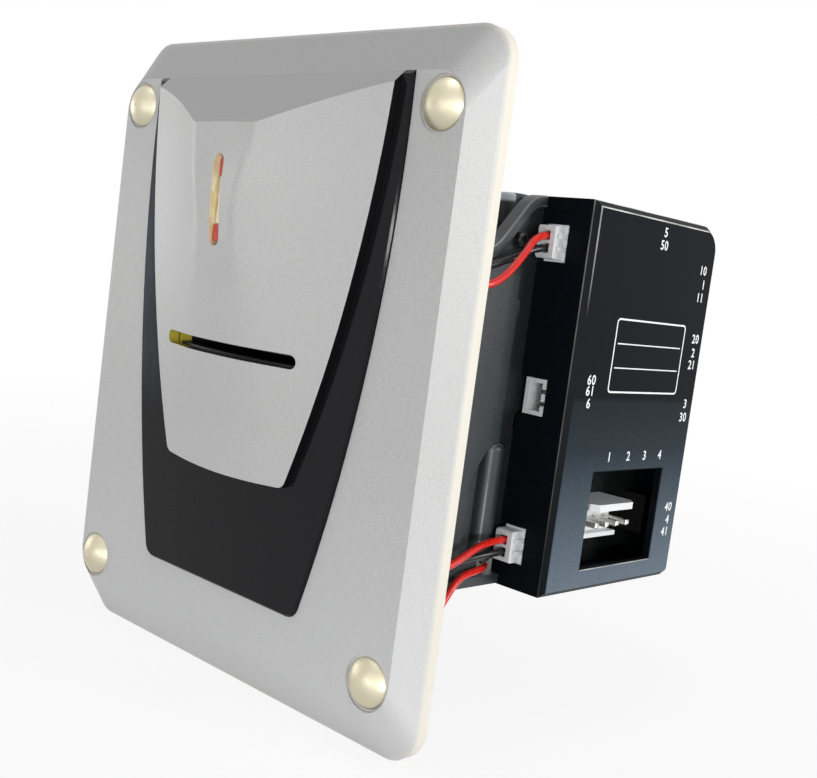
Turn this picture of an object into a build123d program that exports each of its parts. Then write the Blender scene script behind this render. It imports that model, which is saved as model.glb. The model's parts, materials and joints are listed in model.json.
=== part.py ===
from build123d import *
import os
from math import atan2, cos, degrees, hypot, pi, radians, sin, sqrt, tan

# Ticket dispenser: a moulded bezel with its outlet hood, the feed mechanism behind it and a flat control
# box on the mechanism's right side. Millimetres. X is to the right seen from the front, Y to the back and
# Z up. The origin is the centre of the bezel's back plane, which lies against the cabinet panel.

# Bezel
bezel_width = 105.3
bezel_height = 132.0
bezel_corner = 7.0
rim_depth = 2.5  # straight edge behind the bevel
face_depth = 9.2  # back plane to front face
side_bevel = 2.45  # how far the bevel draws in at the sides
end_bevel = 9.25  # and at the top and bottom
face_corner = 6.9
bezel_wall = 2.4
face_half_height = bezel_height / 2 - end_bevel

# Outlet hood on the bezel. An outline's side is the arc through its foot, middle and top, each given as
# half width and height.
hood_foot = (18.6, -21.4)
hood_middle = (29.85, 15.6)
hood_top = (35.2, face_half_height)
hood_sag = 0.7  # bow of the bottom edge
hood_corner = 2.0
hood_edge = 11.5  # back plane to the hood's outer edge
hood_side_wall = 2.2
flare_slope = 0.25  # slope of the hood's sides beside their edge
flare_curve = 0.0045  # and how it grows inwards
crest_base = 16.4  # the crest's distance from the back plane at height 0
crest_rise = 0.15
brow_base = 21.1  # the same for the brow, at its own height
brow_height = face_half_height - 18.75
brow_fall = 0.08
brow_blend = 0.35
valley_depth = 0.65  # hollow between the two folds above the slot
valley_middle = face_half_height - 22.75
valley_half_length = 18.0
fold_half_width = 5.0
fold_height = face_half_height - 30.75
fold_spread = 0.226
fold_blend = 0.18  # tightness of the folds at the top
crest_blend = 0.6  # and how much softer the crest is low down

# Openings in the hood
slot_length = 40.3
slot_height = 2.7
slot_z = 2.75
window_width = 3.0
window_height = 17.5
window_z = face_half_height - 25.7

# Trim round the hood
trim_foot = (24.2, -45.5)
trim_middle = (35.2, 5.5)
trim_top = (37.7, face_half_height)
trim_corner = 3.0
trim_pocket = 1.2
trim_stand = 0.7  # how far it stands out of the face
trim_chamfer = 0.35
seat_clearance = 0.1

# Carriage bolts
bolt_pitch_x = 89.4
bolt_pitch_z = 102.0
bolt_head = 9.4
bolt_head_height = 2.4
bolt_neck = 4.0
bolt_neck_length = 2.6
bolt_shank = 3.9
bolt_reach = 7.0  # behind the back plane
bolt_recess = 0.4
bolt_boss = 10.0
bolt_bore = 6.8  # the boss's hollow round the shank
bolt_head_play = 0.4

# Indicator behind the upright window
indicator_back = 16.0  # back plane to the board's front face
indicator_board_thickness = 1.6
indicator_board_width = 12.0
indicator_board_low = window_z - 14.55
indicator_board_high = window_z + 12.95
indicator_post = 4.0
indicator_post_heights = (window_z - 11.85, window_z + 10.55)
indicator_screw_head = 3.2
indicator_screw_length = 3.0
lamp_width = 2.5
lamp_height = 3.2
lamp_front = 19.0
lamp_inset = 0.9  # window's end to the lamp
lens_width = 2.4
lens_front = 18.9

# Chassis
frame_outer = 38.0  # outer face of the side frames
frame_wall = 2.0
chassis_back = 80.0
floor_low = -38.5
floor_thickness = 2.0
floor_lip = 1.6
lip_back = 32.0
frame_top = 40.8
shoulder_low = 28.5  # height of the frame beside the bezel
shoulder_upper_y = 27.9
shoulder_lower_y = 17.0
shoulder_radius = 8.0
band_width = 2.2
band_stand = 1.0
band_chamfer = 0.3
panel_back = 27.2
panel_top = 24.5
panel_stand = 0.6
panel_jog = (16.5, 19.2)
panel_jog_depth = 0.6
pocket_depth = 1.2
pocket_front = 19.5
pocket_shoulder_z = -17.1  # where the pocket's slanted top ends
pocket_margin = 0.5  # below the column
column_y = 27.0
column_radius = 2.85
column_low = -33.0
column_high = -9.4
flange_thickness = 2.5
flange_reach = frame_outer + 9.0
flange_low = -31.0
flange_screw_x = frame_outer + 5.5
flange_screw_z = 23.0
chassis_boss = 7.0
ledge_depth = 5.0
ledge_top = 38.8
ledge_thickness = 2.0
ledge_front = 34.0
edge_slant = 0.6  # of the panel's small slanted steps
foot_front = 58.0
foot_back = 76.0
cover_screw_ys = (40.0, 72.0)
foot_screw_ys = (62.0, 72.0)
upper_lead_window = ((3.6, 9.4), (18.8, 24.4))  # Y and Z of the openings for the leads in the right frame
lower_lead_window = ((4.0, 11.0), (-34.4, -30.0))
motor_lead_notch = ((25.4, 33.8), (-38.0, -33.6))
cover_half_width = frame_outer - 4.0
cover_front = 28.0
cover_thickness = 2.0
cover_corner = 3.0
cover_apron = 30.0  # how far down its front wall reaches
cover_cheek = 6.0
lug_reach = 3.2  # round the wall screws
pad_reach = 2.4
pad_below = 1.3
wall_screw = (25.2, 31.3)
wall_screw_head = 3.2
wall_screw_length = 4.5

# Screws
screw_shank = 2.6
screw_head = 4.6
screw_head_height = 1.6
screw_clearance = 0.05  # radial, in its pilot hole
screw_play = 0.2  # radial, in a through hole
boss_grip = 5.6  # how far a screw goes into a bezel boss
base_grip = 1.8  # into a side frame's foot
guide_grip = 2.9
motor_grip = 3.4
sink_depth = 1.3  # of a countersunk head
small_screw_shank = 1.6
small_screw_head = 2.6

# Ticket path
path_gap = 1.7
path_low = slot_z - path_gap / 2  # top of the lower guide
guide_thickness = 2.0
channel_half_width = 19.6
guide_half_width = 22.4
guide_front_side = -9.4
guide_front_middle = -13.2
guide_back = 78.0
guide_tabs = ((6.0, 16.0), (60.0, 74.0))
guide_screw_ys = (0.5, 22.0, 68.0)
guide_ribs = ((-4.0, 28.0), (40.0, 76.0))
guide_rib_x = 17.0
guide_rib_depth = 3.0
guide_rib_width = 1.5
guide_entry = 1.2  # chamfer of the inlet's lower edge
stiffener_x = 8.0
stiffener_span = (-6.0, 24.0)
stiffener_height = 2.4
wheel_gap = 0.8  # beside a wheel in its window
wheel_end_gap = 0.9

# Feed drive
drive_y = 34.0
tyre_radius = 8.0
tyre_width = 8.0
tyre_x = 11.0
hub_radius = 5.5
shaft_radius = 2.5
nip_z = path_low + 0.8  # where tyre and pinch roller meet
drive_z = nip_z - tyre_radius
running_clearance = 0.05
bush_radius = 4.0
bush_flange_radius = 5.2
bush_flange = 1.2
gear_module = 0.8
gear_teeth = 40
pinion_teeth = 14
gear_left = 3.8 - frame_outer
gear_right = gear_left + 4.6
gear_hub_radius = 5.0
gear_hub_stand = 2.4
gear_hole_radius = 3.0
gear_hole_circle = 10.0
gear_holes = 5
hub_end_radius = 4.0
hub_end = 2.0
gear_backlash = 0.25
gear_root_play = 0.25
motor_angle = 60.0  # below the horizontal, from the drive shaft to the motor
motor_radius = 12.0
motor_left = gear_right + 3.6
motor_right = motor_left + 34.0
motor_boss_radius = 3.2
motor_shaft_radius = 1.2
bracket_thickness = 1.6
bracket_screw_pitch = 16.0
bracket_gusset = (8.0, 7.0)  # length along the motor and height
motor_edge = 1.2
motor_end_boss = 4.5  # radius of the bearing boss at the back
motor_end_stand = 1.6
terminal_size = (0.6, 2.4)
terminal_length = 3.0
motor_screw_head_radius = 2.2
motor_screw_head_height = 1.2
terminal_pitch = 10.0

# Pinch rollers on their yoke
pinch_radius = 5.0
pinch_gap = 0.3
pinch_shaft_radius = 1.5
pinch_z = nip_z + pinch_gap + pinch_radius
yoke_y = 50.0
yoke_z = 14.0
web_back = 4.8  # the yoke's cross web, ahead of its pivot
web_thickness = 2.8
web_top = 0.4  # below the pivot
arm_inner = 16.2
arm_outer = 17.8
arm_width = 4.4
ear_inner = 18.1
ear_outer = 19.8
spring_outer = 3.6
spring_inner = 1.9
spring_wire = 0.4  # radius
spring_half_length = 4.0
spring_front_leg = 6.2
spring_back_leg = 9.0

# Notch sensor
sensor_y = 12.0
sensor_pin = 1.2
sensor_width = 8.0
sensor_depth = 6.0
sensor_height = 4.4

# Control box
case_right = frame_outer + 13.0
case_front = 32.1
case_back = 80.8
case_low = -38.8
case_high = 40.8
case_wall = 1.8
case_chamfer = 1.2
case_top_corner = 6.0
case_low_corner = 2.0
board_thickness = 1.6
board_play = 0.2
case_screws_yz = ((39.0, 16.0), (39.0, -15.5), (75.0, 20.0), (75.0, -9.0))
case_boss = 5.6
case_boss_depth = 8.0
power_opening_y = (44.0, 71.2)
power_opening_z = (-33.9, -13.4)
opening_chamfer = 0.3

# Side connectors: two-pin housings
pin_pitch = 2.5
housing_margin = 4.9  # housing length beyond its outer pins
housing_width = 5.0
housing_depth = 9.5
housing_wall = 0.85
cavity_depth = 7.0
pin_size = 0.64
header_heights = (31.65, 0.8, -29.7)
plug_front = 28.5
plug_play = 0.1
plug_head = 0.5  # how far the plug's head overlaps the housing's rim
wire_hole = 1.9
wire_hole_depth = 2.0
key_width = 0.9  # slots in the housing's outer wall
key_depth = 4.0

# Power connector: a base with one tall latch wall and four bare pins
power_header = (57.1, -25.6)  # Y and Z of the middle between the pins
power_pitch = 3.96
power_pin = 1.14
power_pin_height = 9.6
power_base = 3.2
power_base_high = 4.6  # from the pins' row to the latch wall's outer face
power_base_low = 3.9
power_latch = 1.5
power_latch_height = 9.9
power_latch_corner = 1.6
power_rail = 1.0
power_rail_height = 5.4

# Buttons and slide switches
button_radius = 1.7
button_hole = 2.1
button_x = frame_outer + 6.0
button_sink = 0.2  # below the case's face
button_base = 6.0  # its switch's housing, across
button_bore_depth = 1.8
forward_button_y = 57.8
reverse_button_z = 0.0
switch_heights = (27.8, 12.6, -25.4)
switch_x = frame_outer + 5.2
switch_half_height = 4.4
switch_depth = 4.2
knob_size = 1.7
knob_travel = 2.0
knob_stand = 1.0
knob_play = 0.15

# Leads
lead_radius = 0.75

frame_inner = frame_outer - frame_wall
floor_top = floor_low + floor_thickness
path_high = path_low + path_gap
pinion_distance = gear_module * (gear_teeth + pinion_teeth) / 2
motor_y = drive_y + pinion_distance * cos(radians(motor_angle))
motor_z = drive_z - pinion_distance * sin(radians(motor_angle))
board_left = frame_outer
board_right = board_left + board_thickness
header_x = board_right + housing_width / 2
case_inner_back = case_back - case_wall
case_inner_high = case_high - case_wall


# Shapes drawn in a plane and drawn out along one axis

def front_plane(y):
    return Plane((0, y, 0), x_dir=(1, 0, 0), z_dir=(0, -1, 0))


def side_plane(x):
    return Plane((x, 0, 0), x_dir=(0, 1, 0), z_dir=(1, 0, 0))


def front_slab(outline, front, back):
    # the outline is drawn in X and Z
    return extrude(front_plane(back) * outline, back - front, dir=(0, -1, 0))


def side_slab(outline, left, right):
    # the outline is drawn in Y and Z
    return extrude(side_plane(left) * outline, right - left, dir=(1, 0, 0))


def flat_slab(outline, low, high):
    # the outline is drawn in X and Y
    return extrude(Plane.XY.offset(low) * outline, high - low, dir=(0, 0, 1))


def block(x, y, z):
    middle = [(low + high) / 2 for low, high in (x, y, z)]
    return Pos(*middle) * Box(x[1] - x[0], y[1] - y[0], z[1] - z[0])


def rod_x(y, z, radius, left, right):
    return Pos((left + right) / 2, y, z) * Rot(0, 90, 0) * Cylinder(radius, right - left)


def rod_y(x, z, radius, front, back):
    return Pos(x, (front + back) / 2, z) * Rot(90, 0, 0) * Cylinder(radius, back - front)


def rod_z(x, y, radius, low, high):
    return Pos(x, y, (low + high) / 2) * Cylinder(radius, high - low)


def rectangle(x, z):
    return Pos((x[0] + x[1]) / 2, (z[0] + z[1]) / 2) * Rectangle(x[1] - x[0], z[1] - z[0])


def save(name, *shapes):
    solids = [solid for shape in shapes for solid in shape.solids()]
    export_step(solids[0] if len(solids) == 1 else Compound(children=solids), f"parts/{name}.step")


def screw(length, head=screw_head, shank=screw_shank):
    # stands along Z with its head above 0 and its shank below
    top = Pos(0, 0, screw_head_height / 2) * Cylinder(head / 2, screw_head_height)
    top = fillet(top.edges().sort_by(Axis.Z)[-1], 0.5)
    cross = Pos(0, 0, screw_head_height - 0.3) * (Box(head * 0.6, 0.6, 0.7) + Box(0.6, head * 0.6, 0.7))
    return top - cross + Pos(0, 0, -length / 2) * Cylinder(shank / 2, length)


def sunk_cone(play):
    # a countersunk head's cone, with its flat top at 0
    return Pos(0, 0, -sink_depth / 2) * Cone(screw_shank / 2 + play, screw_head / 2 + play, sink_depth)


def sunk_screw(length):
    cross = Box(screw_head * 0.6, 0.6, 1.2) + Box(0.6, screw_head * 0.6, 1.2)
    return sunk_cone(0) - cross + Pos(0, 0, -length / 2) * Cylinder(screw_shank / 2, length) - cross


# Outline and surface of the hood

def circle_through(a, b, c):
    # centre and radius of the circle through three points
    d = 2 * (a[0] * (b[1] - c[1]) + b[0] * (c[1] - a[1]) + c[0] * (a[1] - b[1]))
    squares = [p[0] ** 2 + p[1] ** 2 for p in (a, b, c)]
    x = (squares[0] * (b[1] - c[1]) + squares[1] * (c[1] - a[1]) + squares[2] * (a[1] - b[1])) / d
    z = (squares[0] * (c[0] - b[0]) + squares[1] * (a[0] - c[0]) + squares[2] * (b[0] - a[0])) / d
    return x, z, hypot(a[0] - x, a[1] - z)


def mirrored(point):
    return -point[0], point[1]


def tapered_outline(foot, middle, top, corner, sag, inset):
    # both sides are arcs about one centre each, so an inset keeps them parallel
    x, z, radius = circle_through(foot, middle, top)
    low = foot[1] + inset
    high = top[1] - inset
    heights = (low, (low + high) / 2, high)
    reach = radius - inset
    foot, middle, top = [(x + sqrt(reach ** 2 - (height - z) ** 2), height) for height in heights]
    right = ThreePointArc(foot, middle, top)
    lid = Line(top, mirrored(top))
    left = ThreePointArc(mirrored(top), mirrored(middle), mirrored(foot))
    base = ThreePointArc(mirrored(foot), (0, low - sag), foot) if sag else Line(mirrored(foot), foot)
    outline = make_face([right, lid, left, base])
    return fillet(outline.vertices().sort_by(Axis.Y)[:2], max(corner - inset, 0.4))


def hood_outline(inset=0.0):
    return tapered_outline(hood_foot, hood_middle, hood_top, hood_corner, hood_sag, inset)


hood_arc = circle_through(hood_foot, hood_middle, hood_top)


def hood_half_width(z):
    return hood_arc[0] + sqrt(hood_arc[2] ** 2 - (z - hood_arc[1]) ** 2)


def eased(t):
    t = min(1.0, max(0.0, t))
    return t * t * (3 - 2 * t)


def softer(a, b, blend):
    # the lesser of two values, blended where they cross
    return (a + b - sqrt((a - b) ** 2 + 4 * blend ** 2)) / 2


def hood_depth(x, z):
    # distance from the back plane to the hood's front surface
    inward = hood_half_width(z) - abs(x)
    steepness = 0.62 + 0.27 * eased((z + 24) / 26) + 0.09 * eased((z - 24) / 14)
    side = hood_edge + steepness * (flare_slope * inward + flare_curve * inward * abs(inward))
    brow = brow_base - brow_fall * (z - brow_height)
    crest = softer(crest_base + crest_rise * z, brow, brow_blend)
    along = (z - valley_middle) / valley_half_length
    valley = valley_depth * cos(pi / 2 * along) ** 2 if abs(along) < 1 else 0.0
    fold = fold_half_width + fold_spread * (z - fold_height)
    top = crest - valley * (1 - (x / max(fold, 1.0)) ** 2)
    return softer(side, top, fold_blend + crest_blend * (1 - eased((z - 5) / 27)))


def hood_surface(skin):
    # the hood's front surface, moved back by the skin's thickness
    heights = [hood_foot[1] - 5 + 2 * row for row in range(44)]
    across = [-40 + column for column in range(81)]
    rows = [[Vector(x, skin - hood_depth(x, z), z) for x in across] for z in heights]
    return Face.make_surface_from_array_of_points(rows, tol=0.02, min_deg=3, max_deg=5)


def scoop(skin=0.0):
    # what lies in front of the plane that falls forward at 45 degrees from the face's top edge
    front = skin - face_depth
    high = face_half_height + 20
    low = face_half_height - 50
    corners = [(front, face_half_height), (front - 50, low), (-80, low), (-80, high), (front, high)]
    return side_slab(make_face(Polyline(*corners, close=True)), -60, 60)


def hood_block(inset, skin, back):
    front = extrude(hood_surface(skin), 50, dir=(0, 1, 0))
    return (front & front_slab(hood_outline(inset), -60, back)) - scoop(skin * sqrt(2))


# Bezel and what is fixed to its face

def bevelled_block(inset, front, back):
    # the rim and the bevel, drawn in by a wall's thickness
    slope_side = side_bevel / (face_depth - rim_depth)
    slope_end = end_bevel / (face_depth - rim_depth)
    wide = (bezel_width - 2 * inset, bezel_height - 2 * inset)
    side = side_bevel + inset * (sqrt(1 + slope_side ** 2) - slope_side)
    end = end_bevel + inset * (sqrt(1 + slope_end ** 2) - slope_end)
    narrow = (bezel_width - 2 * side, bezel_height - 2 * end)
    edge = rim_depth if not inset else 0.0
    outer = front_plane(-edge) * RectangleRounded(*wide, bezel_corner - inset)
    inner = front_plane(-front) * RectangleRounded(*narrow, face_corner - inset)
    bevel = loft([outer, inner], ruled=True)
    if not edge:
        return bevel
    return bevel + extrude(front_plane(back) * RectangleRounded(*wide, bezel_corner - inset), edge)


def bolt_places():
    return [(x * bolt_pitch_x / 2, z * bolt_pitch_z / 2) for x in (-1, 1) for z in (-1, 1)]


def chassis_boss_places():
    return [(x * flange_screw_x, z * flange_screw_z) for x in (-1, 1) for z in (-1, 1)]


def trim_outline(inset=0.0):
    return tapered_outline(trim_foot, trim_middle, trim_top, trim_corner, 0, inset)


def build_bezel():
    skin_back = bezel_wall - face_depth
    bezel = bevelled_block(0, face_depth, 0) - bevelled_block(bezel_wall, face_depth - bezel_wall, 0)
    bezel = bezel + hood_block(0, 0, skin_back)
    below = rectangle((-60, 60), (-60, face_half_height))
    pocket = front_slab(trim_outline(-seat_clearance) & below, -face_depth - 1, trim_pocket - face_depth)
    bezel = bezel - (pocket - front_slab(hood_outline(), -60, 0))
    bezel = bezel - hood_block(hood_side_wall, bezel_wall, 1)
    for x, z in bolt_places():
        bezel = bezel + rod_y(x, z, bolt_boss / 2, skin_back - 0.5, 0)
        sink = rod_y(x, z, bolt_head / 2 + bolt_head_play, -face_depth - 1, bolt_recess - face_depth)
        bezel = bezel - sink
        side = bolt_neck / 2 + seat_clearance
        neck_end = bolt_recess - face_depth + bolt_neck_length
        bezel = bezel - block((x - side, x + side), (-face_depth, neck_end + 1), (z - side, z + side))
        bezel = bezel - rod_y(x, z, bolt_bore / 2, neck_end, 1)
    for x, z in chassis_boss_places():
        bezel = bezel + rod_y(x, z, chassis_boss / 2, skin_back - 0.5, 0)
        bezel = bezel - rod_y(x, z, screw_shank / 2 + screw_clearance, skin_back + 0.4, 1)
    for z in indicator_post_heights:
        front = bezel_wall / 2 - hood_depth(0, z)
        bezel = bezel + rod_y(0, z, indicator_post / 2, front, -indicator_back)
        bezel = bezel - rod_y(0, z, small_screw_shank / 2 + screw_clearance, -indicator_back - 1.6,
                              -indicator_back + 1)
    slot = Pos(0, slot_z) * SlotOverall(slot_length, slot_height)
    bezel = bezel - front_slab(slot, -40, -face_depth)
    window = Pos(0, window_z) * Rot(0, 0, 90) * SlotOverall(window_height, window_width)
    return bezel - front_slab(window, -40, -indicator_back)


def build_trim():
    ring = trim_outline() - hood_outline(-seat_clearance)
    trim = front_slab(ring, -face_depth - trim_stand, trim_pocket - face_depth) - scoop()
    front = trim.faces().sort_by(Axis.Y)[0]
    edges = [edge for edge in front.edges() if abs(edge.center().X) > 1 and edge.length > 60]
    outer = sorted(edges, key=lambda edge: abs(edge.center().X))[-2:]
    return chamfer(outer, trim_chamfer)


def carriage_bolt():
    rise = bolt_head_height
    sphere = ((bolt_head / 2) ** 2 + rise ** 2) / (2 * rise)
    dome = Pos(0, 0, rise - sphere) * Sphere(sphere) & Pos(0, 0, rise / 2) * Cylinder(bolt_head / 2, rise)
    neck = Pos(0, 0, -bolt_neck_length / 2) * Box(bolt_neck, bolt_neck, bolt_neck_length)
    length = face_depth - bolt_recess + bolt_reach
    shank = Pos(0, 0, -length / 2) * Cylinder(bolt_shank / 2, length)
    tip = chamfer(shank.edges().sort_by(Axis.Z)[0], 0.5)
    return dome + neck + tip


def build_bolts():
    seat = bolt_recess - face_depth
    return [Pos(x, seat, z) * Rot(90, 0, 0) * carriage_bolt() for x, z in bolt_places()]


def lamp_heights():
    reach = window_height / 2 - lamp_height / 2 - lamp_inset
    return window_z - reach, window_z + reach


def build_indicator():
    half = indicator_board_width / 2
    board_back = indicator_board_thickness - indicator_back
    board = block((-half, half), (-indicator_back, board_back),
                  (indicator_board_low, indicator_board_high))
    for z in indicator_post_heights:
        hole = small_screw_shank / 2 + screw_play
        board = board - rod_y(0, z, hole, -indicator_back - 1, board_back + 1)
    low, high = lamp_heights()
    lamps = [block((-lamp_width / 2, lamp_width / 2), (-lamp_front, -indicator_back),
                   (z - lamp_height / 2, z + lamp_height / 2)) for z in (low, high)]
    lens = block((-lens_width / 2, lens_width / 2), (-lens_front, -indicator_back),
                 (low + lamp_height / 2 + 0.2, high - lamp_height / 2 - 0.2))
    lens = fillet(lens.edges().filter_by(Axis.Z).sort_by(Axis.Y)[:2], 0.5)
    whole = screw(indicator_screw_length, indicator_screw_head, small_screw_shank)
    screws = [Pos(0, board_back, z) * Rot(-90, 0, 0) * whole for z in indicator_post_heights]
    return board, lamps, lens, screws


# Chassis

def frame_outline(inset=0.0):
    # side frame seen from the right, its curved top edge drawn in by the inset
    turn = atan2(frame_top - shoulder_low, shoulder_upper_y - shoulder_lower_y)
    shift = inset * tan(turn / 2)
    low = shoulder_low - inset
    high = frame_top - inset
    edge = FilletPolyline([(chassis_back, high), (shoulder_upper_y + shift, high),
                           (shoulder_lower_y + shift, low), (0, low)],
                          radius=[shoulder_radius - inset, shoulder_radius + inset])
    rest = Polyline((0, low), (0, floor_top), (chassis_back, floor_top), (chassis_back, high))
    return make_face([*edge.edges(), *rest.edges()])


def side_frame():
    # the right frame without what belongs to the control box
    frame = side_slab(frame_outline(), frame_inner, frame_outer)
    ahead = rectangle((-1, lip_back - 0.1), (-60, 60))
    band = (frame_outline() - frame_outline(band_width)) & ahead
    lip = side_slab(band, frame_outer, frame_outer + band_stand)
    frame = frame + chamfer(lip.faces().sort_by(Axis.X)[-1].edges(), band_chamfer)
    jog_low, jog_high = panel_jog
    panel = make_face(Polyline((0, floor_top), (panel_back, floor_top), (panel_back, jog_low),
                               (panel_back + panel_jog_depth, jog_low + edge_slant),
                               (panel_back + panel_jog_depth, jog_high),
                               (panel_back - edge_slant, jog_high + edge_slant),
                               (panel_back - edge_slant, panel_top),
                               (0, panel_top), close=True))
    frame = frame + side_slab(panel, frame_outer, frame_outer + panel_stand)
    low = column_low - pocket_margin
    pocket = make_face(Polyline((column_y + 3.1, column_high), (column_y - 0.8, column_high),
                                (column_y - 3.2, column_high - 1.3), (pocket_front, pocket_shoulder_z),
                                (pocket_front, low), (column_y + 3.1, low), close=True))
    floor = frame_outer - pocket_depth
    frame = frame - side_slab(pocket, floor, frame_outer + 5)
    column = rod_z(floor, column_y, column_radius, low, column_high)
    column = fillet(column.edges().sort_by(Axis.Z)[-1], 1.4)
    frame = frame + (column & block((floor - 0.4, frame_outer + 5), (0, 60), (-60, 60)))
    flange = block((frame_inner, flange_reach), (0, flange_thickness), (flange_low, shoulder_low))
    frame = frame + flange
    for z in (-flange_screw_z, flange_screw_z):
        frame = frame - rod_y(flange_screw_x, z, screw_shank / 2 + screw_play, -1, flange_thickness + 1)
    ledge = block((frame_inner - ledge_depth, frame_inner), (ledge_front, chassis_back),
                  (ledge_top - ledge_thickness, ledge_top))
    foot = block((frame_inner - ledge_depth, frame_inner), (foot_front, foot_back),
                 (floor_top, floor_top + ledge_thickness))
    frame = frame + ledge + foot
    frame = frame - rod_x(drive_y, drive_z, bush_radius, frame_inner - 1, frame_outer + 1)
    for y in cover_screw_ys:
        frame = frame - rod_z(frame_inner - ledge_depth / 2, y, screw_shank / 2 + screw_clearance,
                              ledge_top - ledge_thickness - 1, ledge_top + 1)
    for y in foot_screw_ys:
        frame = frame - rod_z(frame_inner - ledge_depth / 2, y, screw_shank / 2 + screw_clearance,
                              floor_top - 1, floor_top + ledge_thickness + 1)
    y, z = wall_screw
    frame = frame - rod_x(y, z, screw_shank / 2 + screw_play, frame_inner - 1, frame_outer + 2)
    return frame


def build_right_frame():
    frame = side_frame()
    for window in (upper_lead_window, lower_lead_window, motor_lead_notch):
        frame = frame - block((frame_inner - 1, frame_outer + 2), *window)
    for y, z in case_screws_yz:
        frame = frame - rod_x(y, z, screw_shank / 2 + screw_play, frame_inner - 1, frame_outer + 1)
    return frame


def build_left_frame():
    return mirror(side_frame(), Plane.YZ)


def build_base():
    wide = frame_outer + floor_lip
    base = block((-wide, wide), (0, lip_back - 0.1), (floor_low, floor_top))
    base = base + block((-frame_outer, frame_outer), (0, chassis_back), (floor_low, floor_top))
    for x in (-1, 1):
        for y in foot_screw_ys:
            base = base - rod_z(x * (frame_inner - ledge_depth / 2), y, screw_shank / 2 + screw_play,
                                floor_low - 1, floor_top + 1)
    right = motor_left
    left = right - bracket_thickness
    half = motor_radius + 1
    plate = block((left, right), (motor_y - half, motor_y + half), (floor_top, motor_z + motor_radius))
    gusset_length, gusset_height = bracket_gusset
    for side in (-1, 1):
        middle = motor_y + side * half
        foot = block((left, right + gusset_length),
                     (middle - bracket_thickness / 2, middle + bracket_thickness / 2),
                     (floor_top, floor_top + gusset_height))
        plate = plate + foot
    plate = plate - rod_x(motor_y, motor_z, motor_boss_radius + running_clearance, left - 1, right + 1)
    for y in (-bracket_screw_pitch / 2, bracket_screw_pitch / 2):
        plate = plate - rod_x(motor_y + y, motor_z, screw_shank / 2 + screw_play, left - 1, right + 1)
    return base + plate


def build_cover():
    low = ledge_top
    high = low + cover_thickness
    half = cover_half_width
    lid = block((-half, half), (cover_front, chassis_back - 0.5), (low, high))
    wall = block((-half, half), (cover_front, cover_front + cover_thickness), (cover_apron, high))
    side = cover_front + cover_cheek
    cheeks = [block((x * (half - 1) - 1, x * (half - 1) + 1), (cover_front, side), (cover_apron, high))
              for x in (-1, 1)]
    cover = lid + wall + cheeks[0] + cheeks[1]
    upright = cover.edges().filter_by(Axis.Z).group_by(Axis.Y)[0]
    cover = fillet(upright, cover_corner)
    cover = fillet(cover.faces().sort_by(Axis.Y)[0].edges().filter_by(Axis.X).sort_by(Axis.Z)[-1], 0.8)
    y, z = wall_screw
    for x in (-1, 1):
        lug = block((x * (half - 1) - 1, x * (half - 1) + 1), (y - lug_reach, cover_front + 1),
                    (cover_apron, z + 3))
        pad = block((min(x * (half - 2), x * frame_inner), max(x * (half - 2), x * frame_inner)),
                    (y - pad_reach, y + pad_reach), (z - pad_below, z + pad_reach))
        cover = cover + lug + pad
        cover = cover - rod_x(y, z, screw_shank / 2 + screw_clearance, x * half - 6, x * half + 6)
        for screw_y in cover_screw_ys:
            place = x * (frame_inner - ledge_depth / 2)
            cover = cover - rod_z(place, screw_y, screw_shank / 2 + screw_play, low - 1, high + 1)
            cover = cover - Pos(place, screw_y, high) * sunk_cone(screw_clearance)
    return cover


def build_chassis_screws():
    flange = [Pos(x, flange_thickness, z) * Rot(-90, 0, 0) * screw(flange_thickness + boss_grip)
              for x, z in chassis_boss_places()]
    sides = (-(frame_inner - ledge_depth / 2), frame_inner - ledge_depth / 2)
    top = [Pos(x, y, ledge_top + cover_thickness) * sunk_screw(cover_thickness + ledge_thickness - 0.2)
           for x in sides for y in cover_screw_ys]
    foot = [Pos(x, y, floor_low) * Rot(180, 0, 0) * screw(floor_thickness + base_grip)
            for x in sides for y in foot_screw_ys]
    y, z = wall_screw
    wall = [Pos(x * frame_outer, y, z) * Rot(0, 90 * x, 0) * screw(wall_screw_length, wall_screw_head)
            for x in (-1, 1)]
    return flange, top, foot, wall


# Ticket path

def guide_outline():
    half = guide_half_width
    nose = ThreePointArc((half, guide_front_side), (0, guide_front_middle), (-half, guide_front_side))
    rest = Polyline((-half, guide_front_side), (-half, guide_back), (half, guide_back),
                    (half, guide_front_side))
    return make_face([*nose.edges(), *rest.edges()])


def wheel_window(radius, depth):
    # half length of the window that a wheel needs where it passes a plate that far from its centre
    return sqrt(radius ** 2 - depth ** 2) + wheel_end_gap


def guide_screw_places():
    middle = (channel_half_width + guide_half_width) / 2
    return [(x * middle, y) for x in (-1, 1) for y in guide_screw_ys]


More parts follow.
